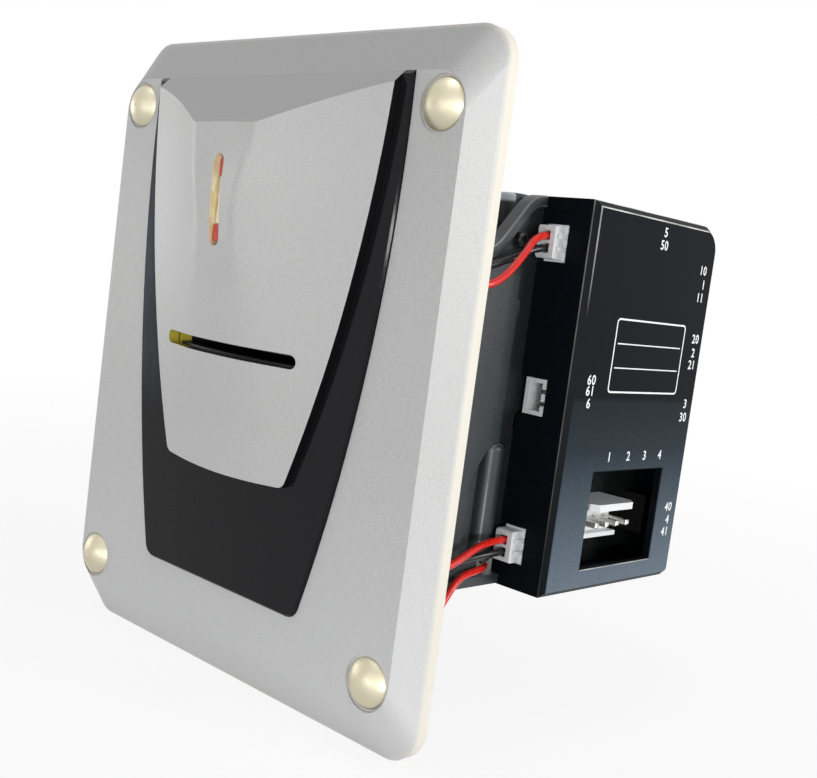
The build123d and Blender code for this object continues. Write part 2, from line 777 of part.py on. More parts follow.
def build_lower_guide():
    low = path_low - guide_thickness
    guide = flat_slab(guide_outline(), low, path_low)
    for front, back in guide_tabs:
        guide = guide + block((-frame_inner, frame_inner), (front, back), (low, path_low))
    rails = flat_slab(guide_outline() - rectangle((-channel_half_width, channel_half_width), (-60, 100)),
                      path_low, path_high)
    guide = guide + rails
    for x in (-1, 1):
        for span in guide_ribs:
            middle = x * guide_rib_x
            guide = guide + block((middle - guide_rib_width / 2, middle + guide_rib_width / 2),
                                  span, (low - guide_rib_depth, low))
        reach = wheel_window(tyre_radius, low - drive_z)
        side = tyre_width / 2 + wheel_gap
        guide = guide - block((x * tyre_x - side, x * tyre_x + side),
                              (drive_y - reach, drive_y + reach), (low - 1, path_low + 1))
    guide = guide - rod_z(0, sensor_y, sensor_pin + running_clearance, low - 1, path_low + 1)
    for x, y in guide_screw_places():
        guide = guide - rod_z(x, y, small_screw_shank / 2 + screw_clearance, low + 0.4, path_high + 1)
    rear = guide.edges().filter_by(Axis.X).group_by(Axis.Y)[-1]
    entry = [edge for edge in rear if abs(edge.center().Z - path_low) < 0.01 and abs(edge.center().X) < 1]
    return chamfer(entry, guide_entry)


def build_upper_guide():
    high = path_high + guide_thickness
    guide = flat_slab(guide_outline(), path_high, high)
    for x in (-1, 1):
        reach = wheel_window(pinch_radius, pinch_z - high)
        side = tyre_width / 2 + wheel_gap
        guide = guide - block((x * tyre_x - side, x * tyre_x + side),
                              (drive_y - reach, drive_y + reach), (path_high - 1, high + 1))
        left, right = sorted((x * ear_inner, x * ear_outer))
        ear = rectangle((yoke_y - 4, yoke_y + 4), (high - 0.5, yoke_z)) + Pos(yoke_y, yoke_z) * Circle(4)
        guide = guide + side_slab(ear, left, right)
    bore = pinch_shaft_radius + running_clearance
    guide = guide - rod_x(yoke_y, yoke_z, bore, -ear_outer - 1, ear_outer + 1)
    guide = guide - rod_z(0, sensor_y, sensor_pin + running_clearance, path_high - 1, high + 1)
    for x, y in guide_screw_places():
        guide = guide - rod_z(x, y, small_screw_shank / 2 + screw_play, path_high - 1, high + 1)
    for x in (-stiffener_x, stiffener_x):
        guide = guide + block((x - guide_rib_width / 2, x + guide_rib_width / 2), stiffener_span,
                              (high - 0.5, high + stiffener_height))
    return guide


def build_guide_screws():
    high = path_high + guide_thickness
    return [Pos(x, y, high) * screw(guide_thickness + guide_grip, small_screw_head, small_screw_shank)
            for x, y in guide_screw_places()]


def build_sensor():
    high = path_high + guide_thickness
    low = path_low - guide_thickness
    across = (-sensor_width / 2, sensor_width / 2)
    along = (sensor_y - sensor_depth / 2, sensor_y + sensor_depth / 2)
    emitter = block(across, along, (high, high + sensor_height))
    emitter = chamfer(emitter.edges().filter_by(Axis.X).sort_by(Axis.Z)[-2:], 0.8)
    emitter = emitter + rod_z(0, sensor_y, sensor_pin, high - 1, high)
    receiver = block(across, along, (low - sensor_height, low))
    receiver = chamfer(receiver.edges().filter_by(Axis.X).sort_by(Axis.Z)[:2], 0.8)
    return emitter, receiver + rod_z(0, sensor_y, sensor_pin, low, low + 1)


# Drive

def gear_outline(teeth, turn):
    # straight-flanked teeth, the first centred on the turn in degrees
    pitch = gear_module * teeth / 2
    tip = pitch + gear_module
    root = pitch - gear_module - gear_root_play
    half_tooth = (pi * gear_module / 2 - gear_backlash) / 2
    flank = tan(radians(20))
    wide = (half_tooth + flank * (pitch - root)) / root
    narrow = (half_tooth - flank * (tip - pitch)) / tip
    points = []
    for number in range(teeth):
        middle = radians(turn + 360 * number / teeth)
        for angle, radius in ((-wide, root), (-narrow, tip), (narrow, tip), (wide, root)):
            points.append((radius * cos(middle + angle), radius * sin(middle + angle)))
    return make_face(Polyline(*points, close=True))


def build_drive():
    shaft = rod_x(drive_y, drive_z, shaft_radius, -frame_outer + 0.3, frame_outer - 0.3)
    shaft = chamfer(shaft.edges(), 0.4)
    hubs = []
    tyres = []
    for x in (-tyre_x, tyre_x):
        left = x - tyre_width / 2
        right = x + tyre_width / 2
        hub = rod_x(drive_y, drive_z, hub_radius, left, right)
        hub = hub + rod_x(drive_y, drive_z, hub_end_radius, left - hub_end, right + hub_end)
        hubs.append(hub - rod_x(drive_y, drive_z, shaft_radius, left - 3, right + 3))
        tyre = rod_x(drive_y, drive_z, tyre_radius, left, right)
        tyre = fillet(tyre.edges(), 0.5) - rod_x(drive_y, drive_z, hub_radius, left - 1, right + 1)
        tyres.append(tyre)
    turn = -motor_angle
    gear = side_slab(Pos(drive_y, drive_z) * gear_outline(gear_teeth, turn), gear_left, gear_right)
    gear = gear + rod_x(drive_y, drive_z, gear_hub_radius, gear_left, gear_right + gear_hub_stand)
    for number in range(gear_holes):
        angle = 2 * pi * number / gear_holes
        y = drive_y + gear_hole_circle * cos(angle)
        z = drive_z + gear_hole_circle * sin(angle)
        gear = gear - rod_x(y, z, gear_hole_radius, gear_left - 1, gear_right + 1)
    gear = gear - rod_x(drive_y, drive_z, shaft_radius, gear_left - 1, gear_right + gear_hub_stand + 1)
    return shaft, hubs, tyres, gear


def build_bushes():
    bushes = []
    for x in (-1, 1):
        left, right = sorted((x * frame_inner, x * frame_outer))
        bush = rod_x(drive_y, drive_z, bush_radius, left, right)
        left, right = sorted((x * (frame_inner - bush_flange), x * frame_inner))
        bush = bush + rod_x(drive_y, drive_z, bush_flange_radius, left, right)
        bushes.append(bush - rod_x(drive_y, drive_z, shaft_radius + running_clearance, -60, 60))
    return bushes


def build_motor():
    can = rod_x(motor_y, motor_z, motor_radius, motor_left, motor_right)
    can = fillet(can.edges(), motor_edge)
    can = can + rod_x(motor_y, motor_z, motor_boss_radius, motor_left - bracket_thickness, motor_left + 1)
    can = can + rod_x(motor_y, motor_z, motor_end_boss, motor_right - 1, motor_right + motor_end_stand)
    thick, tall = terminal_size
    for y in (-terminal_pitch / 2, terminal_pitch / 2):
        can = can + block((motor_right - 0.5, motor_right + terminal_length),
                          (motor_y + y - thick / 2, motor_y + y + thick / 2),
                          (motor_z - tall / 2, motor_z + tall / 2))
    can = can - rod_x(motor_y, motor_z, motor_shaft_radius + running_clearance,
                      motor_left - bracket_thickness - 1, motor_left + 4)
    for y in (-bracket_screw_pitch / 2, bracket_screw_pitch / 2):
        pilot = screw_shank / 2 + screw_clearance
        can = can - rod_x(motor_y + y, motor_z, pilot, motor_left - 1, motor_left + 4)
    return can


def build_motor_screws():
    head = motor_left - bracket_thickness
    screws = []
    for y in (-bracket_screw_pitch / 2, bracket_screw_pitch / 2):
        shank = rod_x(motor_y + y, motor_z, screw_shank / 2, head, head + bracket_thickness + motor_grip)
        top = rod_x(motor_y + y, motor_z, motor_screw_head_radius, head - motor_screw_head_height, head)
        screws.append(shank + top)
    return screws


def build_pinion():
    # a gap between two teeth faces the driven gear
    towards = 180 - motor_angle
    outline = gear_outline(pinion_teeth, towards + 180 / pinion_teeth)
    pinion = side_slab(Pos(motor_y, motor_z) * outline, gear_left, gear_right)
    return pinion + rod_x(motor_y, motor_z, motor_shaft_radius, gear_left, motor_left + 3.6)


def build_yoke():
    length = hypot(yoke_y - drive_y, yoke_z - pinch_z)
    tilt = degrees(atan2(yoke_z - pinch_z, yoke_y - drive_y))
    middle = ((yoke_y + drive_y) / 2, (yoke_z + pinch_z) / 2)
    arm = Pos(*middle) * Rot(0, 0, tilt) * SlotCenterToCenter(length, arm_width)
    arms = side_slab(arm, -arm_outer, -arm_inner) + side_slab(arm, arm_inner, arm_outer)
    web = block((-arm_inner - 0.5, arm_inner + 0.5),
                (yoke_y - web_back - web_thickness, yoke_y - web_back),
                (yoke_z - web_top - web_thickness, yoke_z - web_top))
    yoke = arms + web
    for y, z in ((yoke_y, yoke_z), (drive_y, pinch_z)):
        yoke = yoke - rod_x(y, z, pinch_shaft_radius + running_clearance, -arm_outer - 1, arm_outer + 1)
    return yoke


def build_pinch():
    shaft = rod_x(drive_y, pinch_z, pinch_shaft_radius, -arm_outer, arm_outer)
    pin = rod_x(yoke_y, yoke_z, pinch_shaft_radius, -ear_outer, ear_outer)
    rollers = []
    for x in (-tyre_x, tyre_x):
        roller = rod_x(drive_y, pinch_z, pinch_radius, x - tyre_width / 2, x + tyre_width / 2)
        roller = chamfer(roller.edges(), 0.6)
        rollers.append(roller - rod_x(drive_y, pinch_z, pinch_shaft_radius + running_clearance, -40, 40))
    return shaft, pin, rollers


def build_spring():
    # one leg bears on the yoke's web, the other on the upper guide
    end = spring_half_length
    coil = rod_x(yoke_y, yoke_z, spring_outer, -end, end)
    coil = coil - rod_x(yoke_y, yoke_z, spring_inner, -end - 1, end + 1)
    middle = (spring_outer + spring_inner) / 2
    x = end - 0.6
    web = yoke_z - web_top
    guide = path_high + guide_thickness
    front_leg = Line((x, yoke_y, yoke_z + middle),
                     (x, yoke_y - spring_front_leg, web + 0.3 + spring_wire * 1.2))
    back_leg = Line((-x, yoke_y, yoke_z - middle), (-x, yoke_y + spring_back_leg, guide + 0.55))
    legs = []
    for leg in (front_leg, back_leg):
        legs.append(sweep(Plane(leg @ 0, z_dir=leg % 0) * Circle(spring_wire), path=leg))
    return coil + legs[0] + legs[1]


# Control box

def case_outline(inset=0.0):
    # the box seen from the right, with its two rear corners rounded
    outline = rectangle((case_front + inset, case_back - inset), (case_low + inset, case_high - inset))
    low, high = outline.vertices().group_by(Axis.X)[-1].sort_by(Axis.Y)
    outline = fillet(low, max(case_low_corner - inset, 0.4))
    high = outline.vertices().sort_by(Axis.X)[-1]
    return fillet(high, case_top_corner - inset)


def header_notch(z, play):
    half = (pin_pitch + housing_margin) / 2 + play
    return block((board_left - 1, board_right + housing_width + play),
                 (case_front - 1, case_front + case_wall + 1), (z - half, z + half))


def build_case():
    case = side_slab(case_outline(), board_left, case_right)
    case = chamfer(case.faces().sort_by(Axis.X)[-1].edges(), case_chamfer)
    case = case - side_slab(case_outline(case_wall), board_left - 1, case_right - case_wall)
    for y, z in case_screws_yz:
        case = case + rod_x(y, z, case_boss / 2, board_left, case_right - case_wall / 2)
        pilot = screw_shank / 2 + screw_clearance
        case = case - rod_x(y, z, pilot, board_left - 1, board_left + case_boss_depth)
    for z in header_heights:
        case = case - header_notch(z, board_play)
    case = case - block((case_right - 3, case_right + 1), power_opening_y, power_opening_z)
    rim = [edge for edge in case.faces().sort_by(Axis.X)[-1].edges()
           if power_opening_y[0] - 0.1 < edge.center().Y < power_opening_y[1] + 0.1
           and power_opening_z[0] - 0.1 < edge.center().Z < power_opening_z[1] + 0.1]
    case = chamfer(rim, opening_chamfer)
    case = case - rod_z(button_x, forward_button_y, button_hole, case_inner_high - 1, case_high + 1)
    case = case - rod_y(button_x, reverse_button_z, button_hole, case_inner_back - 1, case_back + 1)
    half = (knob_size + knob_travel) / 2 + knob_play + 0.4
    for z in switch_heights:
        case = case - block((switch_x - knob_size / 2 - 0.4, switch_x + knob_size / 2 + 0.4),
                            (case_inner_back - 1, case_back + 1), (z - half, z + half))
    return case


def build_case_screws():
    return [Pos(frame_inner, y, z) * Rot(0, -90, 0) * screw(frame_wall + case_boss_depth - 1)
            for y, z in case_screws_yz]


def build_board():
    low = case_low + case_wall + board_play
    board = block((board_left, board_right),
                  (case_front + case_wall + board_play, case_inner_back - board_play),
                  (low, case_inner_high - board_play))
    upright = board.edges().filter_by(Axis.X).group_by(Axis.Y)[-1].sort_by(Axis.Z)
    board = fillet(upright[-1], case_top_corner - case_wall)
    for y, z in case_screws_yz:
        board = board - rod_x(y, z, case_boss / 2 + 0.2, board_left - 1, board_right + 1)
    return board


def side_header(z):
    # two-pin housing lying on the board with its mouth in the box's front face
    half = (pin_pitch + housing_margin) / 2
    front = case_front
    right = board_right + housing_width
    body = block((board_right, right), (front, front + housing_depth), (z - half, z + half))
    wall = housing_wall
    body = body - block((board_right + wall, right - wall), (front - 1, front + cavity_depth),
                        (z - half + wall, z + half - wall))
    for side in (-1, 1):
        middle = z + side * pin_pitch / 2
        body = body - block((right - wall - 0.1, right + 0.1), (front - 1, front + key_depth),
                            (middle - key_width / 2, middle + key_width / 2))
    x = header_x
    pins = []
    for side in (-1, 1):
        middle = z + side * pin_pitch / 2
        across = (x - pin_size / 2, x + pin_size / 2)
        down = (middle - pin_size / 2, middle + pin_size / 2)
        end = front + housing_depth + 1.4
        body = body - block(across, (front + cavity_depth - 1, front + housing_depth + 1), down)
        pin = block(across, (front + 1.6, end), down)
        leg = block((board_right, x), (end - pin_size, end), down)
        pins.append(pin + leg)
    return body, pins


def build_power_header():
    # the latch wall stands above the row of pins, a low rail below it
    y, z = power_header
    half = 2 * power_pitch
    span = (y - half, y + half)
    low = z - power_base_low
    high = z + power_base_high
    body = block((board_right, board_right + power_base), span, (low, high))
    latch = block((board_right, board_right + power_latch_height), span, (high - power_latch, high))
    corners = latch.edges().filter_by(Axis.Z).group_by(Axis.X)[-1]
    body = body + chamfer(corners, power_latch_corner)
    body = body + block((board_right, board_right + power_rail_height), span, (low, low + power_rail))
    pins = []
    for number in range(4):
        middle = y + (number - 1.5) * power_pitch
        across = (middle - power_pin / 2, middle + power_pin / 2)
        down = (z - power_pin / 2, z + power_pin / 2)
        body = body - block((board_right - 1, board_right + power_base + 1), across, down)
        pin = block((board_right, board_right + power_pin_height), across, down)
        pins.append(chamfer(pin.faces().sort_by(Axis.X)[-1].edges(), 0.25))
    return body, pins


def build_plug(z):
    # nose inside the header, head in front of it, one wire hole for each pin
    half = (pin_pitch + housing_margin) / 2
    nose_side = half - housing_wall - plug_play
    left = board_right + housing_wall + plug_play
    right = board_right + housing_width - housing_wall - plug_play
    plug = block((left, right), (plug_front, case_front + cavity_depth - 0.6),
                 (z - nose_side, z + nose_side))
    head = block((left - plug_head, right + plug_head), (plug_front, case_front),
                 (z - nose_side - plug_head, z + nose_side + plug_head))
    head = fillet(head.edges().filter_by(Axis.X).sort_by(Axis.Y)[:2], 0.6)
    plug = plug + head
    for side in (-1, 1):
        middle = z + side * pin_pitch / 2
        rib = block((right + plug_head - 0.1, right + plug_head + 0.5), (plug_front + 0.8, case_front),
                    (middle - 0.4, middle + 0.4))
        plug = plug + rib
        hole = wire_hole / 2
        plug = plug - block((header_x - hole, header_x + hole),
                            (plug_front - 1, plug_front + wire_hole_depth), (middle - hole, middle + hole))
        bore = pin_size / 2 + 0.15
        plug = plug - block((header_x - bore, header_x + bore),
                            (case_front + 1.3, case_front + housing_depth + 2.5),
                            (middle - bore, middle + bore))
    return plug


def build_buttons():
    # each cap slides in a bore of its switch and shows in a hole of the case
    half = button_base / 2
    bore = button_radius + running_clearance
    deep = button_bore_depth
    across = (board_right, button_x + half)
    seat = case_inner_high - 0.4
    forward_base = block(across, (forward_button_y - half, forward_button_y + half), (seat - 4, seat))
    forward_base = forward_base - rod_z(button_x, forward_button_y, bore, seat - deep, seat + 1)
    forward = rod_z(button_x, forward_button_y, button_radius, seat - deep + 0.6, case_high - button_sink)
    seat = case_inner_back - 0.4
    reverse_base = block(across, (seat - 4, seat), (reverse_button_z - half, reverse_button_z + half))
    reverse_base = reverse_base - rod_y(button_x, reverse_button_z, bore, seat - deep, seat + 1)
    reverse = rod_y(button_x, reverse_button_z, button_radius, seat - deep + 0.6, case_back - button_sink)
    return forward_base, forward, reverse_base, reverse


def build_switch(z):
    # the knob rests at the upper end of its travel
    seat = case_inner_back - 0.3
    body = block((board_right, switch_x + 2.6), (seat - switch_depth, seat),
                 (z - switch_half_height, z + switch_half_height))
    half = knob_size / 2
    reach = (knob_size + knob_travel) / 2 + knob_play
    body = body - block((switch_x - half - knob_play, switch_x + half + knob_play), (seat - 1.5, seat + 1),
                        (z - reach, z + reach))
    middle = z + knob_travel / 2
    knob = block((switch_x - half, switch_x + half), (seat - 1.4, case_back + knob_stand),
                 (middle - half, middle + half))
    return body, knob


# Leads. Each route runs from the plug's wire hole to what it feeds, with arcs as large as its runs allow.

wire_start = plug_front + wire_hole_depth
upper_pin = header_heights[0] + pin_pitch / 2
upper_pin_below = header_heights[0] - pin_pitch / 2
lower_pin = header_heights[2] + pin_pitch / 2
lower_pin_below = header_heights[2] - pin_pitch / 2
indicator_solder = indicator_board_thickness - indicator_back
motor_end = motor_right + terminal_length
terminal_front = motor_y - terminal_pitch / 2
terminal_back = motor_y + terminal_pitch / 2


def beside(reach):
    # X of a place that far outside the side frame
    return frame_outer + reach


routes = {
    "lead_upper_red": [
        (header_x, wire_start, upper_pin), (header_x, 25.8, upper_pin), (beside(5.4), 20.6, 28.2),
        (beside(6.3), 14.2, 23.2), (beside(6.3), 8.6, 21.2), (beside(2.6), 5.0, 20.7), (33.0, 5.6, 21.2),
        (22.0, 0.6, 24.0), (10.6, -4.9, 28.0), (4.3, -7.2, 29.8), (1.6, -10.6, 30.4),
        (1.6, indicator_solder, 30.4),
    ],
    "lead_upper_black": [
        (header_x, wire_start, upper_pin_below), (header_x, 27.0, upper_pin_below),
        (beside(2.9), 21.4, 27.8), (beside(2.6), 14.6, 25.4), (beside(2.3), 9.4, 24.2),
        (36.8, 6.6, 22.8), (30.4, 5.8, 23.4), (20.6, 1.4, 26.2), (9.2, -4.2, 30.4), (1.4, -6.9, 32.8),
        (-1.6, -10.2, 33.4), (-1.6, indicator_solder, 33.4),
    ],
    "lead_lower_red": [
        (header_x, wire_start, lower_pin), (header_x, 25.8, lower_pin), (beside(5.8), 18.6, -28.6),
        (beside(6.4), 11.2, -31.2), (beside(6.3), 4.6, -32.9), (beside(6.0), 2.5, -37.6),
        (beside(5.3), 4.8, -42.1), (beside(4.2), 9.7, -43.0), (beside(3.3), 13.6, -39.4),
        (beside(2.4), 18.4, -35.6), (beside(1.8), 24.0, -35.2), (beside(0.2), 29.4, -35.0),
        (31.5, 33.6, -34.5), (25.2, 37.2, -32.6), (20.4, 39.0, -29.4),
        (17.5, terminal_front + 0.5, -25.6), (motor_end + 3.4, terminal_front, motor_z),
        (motor_end, terminal_front, motor_z),
    ],
    "lead_lower_black": [
        (header_x, wire_start, lower_pin_below), (header_x, 26.4, lower_pin_below),
        (beside(3.2), 20.0, -31.8), (beside(3.2), 13.6, -32.2), (beside(1.8), 9.2, -32.2),
        (36.0, 7.2, -32.4), (30.8, 8.4, -33.0), (25.4, 13.2, -33.8), (21.2, 21.8, -34.6),
        (19.4, 31.6, -34.8), (19.0, 39.4, -34.0), (19.2, 45.2, -31.4), (18.8, 47.8, -26.9),
        (motor_end + 4.6, terminal_back, motor_z), (motor_end, terminal_back, motor_z),
    ],
}


def lead_radii(points):
    radii = []
    for before, here, after in zip(points, points[1:], points[2:]):
        first = Vector(*here) - Vector(*before)
        second = Vector(*after) - Vector(*here)
        turn = first.get_angle(second)
        radii.append(0.45 * min(first.length, second.length) / tan(radians(turn / 2)))
    return radii


def build_lead(name):
    points = routes[name]
    radii = lead_radii(points)
    path = FilletPolyline(*points, radius=radii)
    tube = sweep(Plane(path @ 0, z_dir=path % 0) * Circle(lead_radius), path=path)
    print(name, "length", round(path.length, 1), "volume over section x length",
          round(tube.volume / (pi * lead_radius ** 2 * path.length), 4), "radii",
          [round(radius, 1) for radius in radii])
    return tube


def main():
    os.makedirs("parts", exist_ok=True)
    save("bezel", build_bezel())
    save("hood_trim", build_trim())
    save("carriage_bolts", *build_bolts())
    board, lamps, lens, screws = build_indicator()
    save("indicator_board", board)
    save("indicator_lamps", *lamps)
    save("indicator_lens", lens)
    save("indicator_screws", *screws)
    save("chassis_base", build_base())
    save("side_frame_right", build_right_frame())
    save("side_frame_left", build_left_frame())
    save("chassis_cover", build_cover())
    flange, top, foot, wall = build_chassis_screws()
    save("flange_screws", *flange)
    save("cover_screws", *top)
    save("foot_screws", *foot)
    save("wall_screws", *wall)
    save("guide_lower", build_lower_guide())
    save("guide_upper", build_upper_guide())
    save("guide_screws", *build_guide_screws())
    emitter, receiver = build_sensor()
    save("sensor_emitter", emitter)
    save("sensor_receiver", receiver)
    shaft, hubs, tyres, gear = build_drive()
    save("drive_shaft", shaft)
    save("drive_hubs", *hubs)
    save("drive_tyres", *tyres)
    save("drive_gear", gear)
    save("shaft_bushes", *build_bushes())
    save("motor", build_motor())
    save("motor_screws", *build_motor_screws())
    save("motor_pinion", build_pinion())
    save("pinch_yoke", build_yoke())
    shaft, pin, rollers = build_pinch()
    save("pinch_shaft", shaft)
    save("yoke_pin", pin)
    save("pinch_rollers", *rollers)
    save("pinch_spring", build_spring())
    save("control_case", build_case())
    save("case_screws", *build_case_screws())
    save("control_board", build_board())
    pins = []
    for name, z in zip(("header_upper", "header_middle", "header_lower"), header_heights):
        body, more = side_header(z)
        save(name, body)
        pins += more
    body, more = build_power_header()
    save("header_power", body)
    save("header_pins", *pins, *more)
    save("plug_upper", build_plug(header_heights[0]))
    save("plug_lower", build_plug(header_heights[2]))
    for name in routes:
        save(name, build_lead(name))
    forward_base, forward, reverse_base, reverse = build_buttons()
    save("forward_switch", forward_base)
    save("forward_button", forward)
    save("reverse_switch", reverse_base)
    save("reverse_button", reverse)
    bodies = []
    for number, z in zip((1, 2, 4), switch_heights):
        body, knob = build_switch(z)
        bodies.append(body)
        save(f"slide_knob_{number}", knob)
    save("slide_switches", *bodies)


main()
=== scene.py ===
import json
from math import cos, pi, sin

import bpy
from mathutils import Matrix, Vector


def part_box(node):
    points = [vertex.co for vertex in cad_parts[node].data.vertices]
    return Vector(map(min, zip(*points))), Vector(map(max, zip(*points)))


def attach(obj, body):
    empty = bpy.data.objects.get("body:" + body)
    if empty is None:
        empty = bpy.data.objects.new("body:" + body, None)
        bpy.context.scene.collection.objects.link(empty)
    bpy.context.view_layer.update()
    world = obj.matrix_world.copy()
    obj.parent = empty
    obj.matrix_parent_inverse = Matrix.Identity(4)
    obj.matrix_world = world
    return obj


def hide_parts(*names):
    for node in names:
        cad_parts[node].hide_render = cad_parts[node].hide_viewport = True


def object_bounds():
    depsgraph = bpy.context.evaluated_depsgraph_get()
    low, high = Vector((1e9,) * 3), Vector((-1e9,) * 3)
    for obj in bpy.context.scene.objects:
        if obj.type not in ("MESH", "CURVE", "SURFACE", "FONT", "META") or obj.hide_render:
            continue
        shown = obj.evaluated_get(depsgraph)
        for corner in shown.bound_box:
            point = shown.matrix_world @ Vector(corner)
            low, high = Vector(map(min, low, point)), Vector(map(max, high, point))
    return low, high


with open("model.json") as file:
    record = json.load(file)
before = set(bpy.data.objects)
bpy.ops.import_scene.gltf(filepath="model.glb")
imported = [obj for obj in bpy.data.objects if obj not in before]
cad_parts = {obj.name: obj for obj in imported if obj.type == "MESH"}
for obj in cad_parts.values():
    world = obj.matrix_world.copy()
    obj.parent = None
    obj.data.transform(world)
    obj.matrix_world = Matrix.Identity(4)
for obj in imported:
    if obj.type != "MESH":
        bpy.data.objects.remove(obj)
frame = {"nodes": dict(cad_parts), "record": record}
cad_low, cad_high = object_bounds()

MM = 0.001
scene = bpy.context.scene
nodes = frame["nodes"]


def box_in_mm(node):
    """A node's low and high corners, in millimetres."""
    low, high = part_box(node)
    return low / MM, high / MM


# Sizes that the finishes follow, in millimetres. The bezel's back plane is at Y 0 and its front looks
# along -Y.
case_low, case_high = box_in_mm("control_case")
_, bezel_high = box_in_mm("bezel")
_, cover_high = box_in_mm("chassis_cover")
FACE_DEPTH = 9.2
RIM_DEPTH = 2.5
SIDE_BEVEL = 2.45
END_BEVEL = 9.25
SLOT_LENGTH = 40.3
SLOT_HEIGHT = 2.7
SLOT_Z = 2.75
WINDOW_WIDTH = 3.0
WINDOW_HEIGHT = 17.5
WINDOW_Z = 31.05
OPENING_MARGIN = 0.07  # how far the inner tones reach past an opening's edge
CASE_CHAMFER = 1.2
POWER_OPENING_Y = (44.0, 71.2)
POWER_OPENING_LOW = -33.9
FRAME_OUTER = case_low.x  # the side frame's outer face, against which the box lies
COVER_FRONT = 28.0

# The camera, as fitted to the photograph. Its place is in metres.
IMAGE_WIDTH = 817
FOCAL_PIXELS = 1148.305
SENSOR_WIDTH = 36.0
camera_right = Vector((0.721740, 0.679801, 0.130234))
camera_up = Vector((-0.162130, -0.016882, 0.986625))
camera_back = Vector((0.672908, -0.733202, 0.098031))
camera_place = Vector((0.179053, -0.154535, 0.021631))


def make_camera():
    data = bpy.data.cameras.new("camera")
    data.sensor_fit = "HORIZONTAL"
    data.sensor_width = SENSOR_WIDTH
    data.lens = FOCAL_PIXELS / IMAGE_WIDTH * SENSOR_WIDTH
    data.clip_start = 0.01
    data.clip_end = 20.0
    camera = bpy.data.objects.new("camera", data)
    turn = Matrix((camera_right, camera_up, camera_back)).transposed()
    camera.matrix_world = Matrix.Translation(camera_place) @ turn.to_4x4()
    scene.collection.objects.link(camera)
    scene.camera = camera


make_camera()

# Leads. Each route is the one in the part's source, in millimetres.
LEAD_DIAMETER = 1.5
ROUTES = {
    "lead_upper_red": [
        (42.1, 30.5, 32.9), (42.1, 25.8, 32.9), (43.4, 20.6, 28.2), (44.3, 14.2, 23.2), (44.3, 8.6, 21.2),
        (40.6, 5.0, 20.7), (33.0, 5.6, 21.2), (22.0, 0.6, 24.0), (10.6, -4.9, 28.0), (4.3, -7.2, 29.8),
        (1.6, -10.6, 30.4), (1.6, -14.4, 30.4),
    ],
    "lead_upper_black": [
        (42.1, 30.5, 30.4), (42.1, 27.0, 30.4), (40.9, 21.4, 27.8), (40.6, 14.6, 25.4), (40.3, 9.4, 24.2),
        (36.8, 6.6, 22.8), (30.4, 5.8, 23.4), (20.6, 1.4, 26.2), (9.2, -4.2, 30.4), (1.4, -6.9, 32.8),
        (-1.6, -10.2, 33.4), (-1.6, -14.4, 33.4),
    ],
    "lead_lower_red": [
        (42.1, 30.5, -28.45), (42.1, 25.8, -28.45), (43.8, 18.6, -28.6), (44.4, 11.2, -31.2),
        (44.3, 4.6, -32.9), (44.0, 2.5, -37.6), (43.3, 4.8, -42.1), (42.2, 9.7, -43.0),
        (41.3, 13.6, -39.4), (40.4, 18.4, -35.6), (39.8, 24.0, -35.2), (38.2, 29.4, -35.0),
        (31.5, 33.6, -34.5), (25.2, 37.2, -32.6), (20.4, 39.0, -29.4), (17.5, 40.3, -25.6),
        (14.4, 39.8, -24.006), (11.0, 39.8, -24.006),
    ],
    "lead_lower_black": [
        (42.1, 30.5, -30.95), (42.1, 26.4, -30.95), (41.2, 20.0, -31.8), (41.2, 13.6, -32.2),
        (39.8, 9.2, -32.2), (36.0, 7.2, -32.4), (30.8, 8.4, -33.0), (25.4, 13.2, -33.8),
        (21.2, 21.8, -34.6), (19.4, 31.6, -34.8), (19.0, 39.4, -34.0), (19.2, 45.2, -31.4),
        (18.8, 47.8, -26.9), (15.6, 49.8, -24.006), (11.0, 49.8, -24.006),
    ],
}


def add_node(tree, kind, **settings):
    node = tree.nodes.new(kind)
    for name, value in settings.items():
        setattr(node, name, value)
    return node


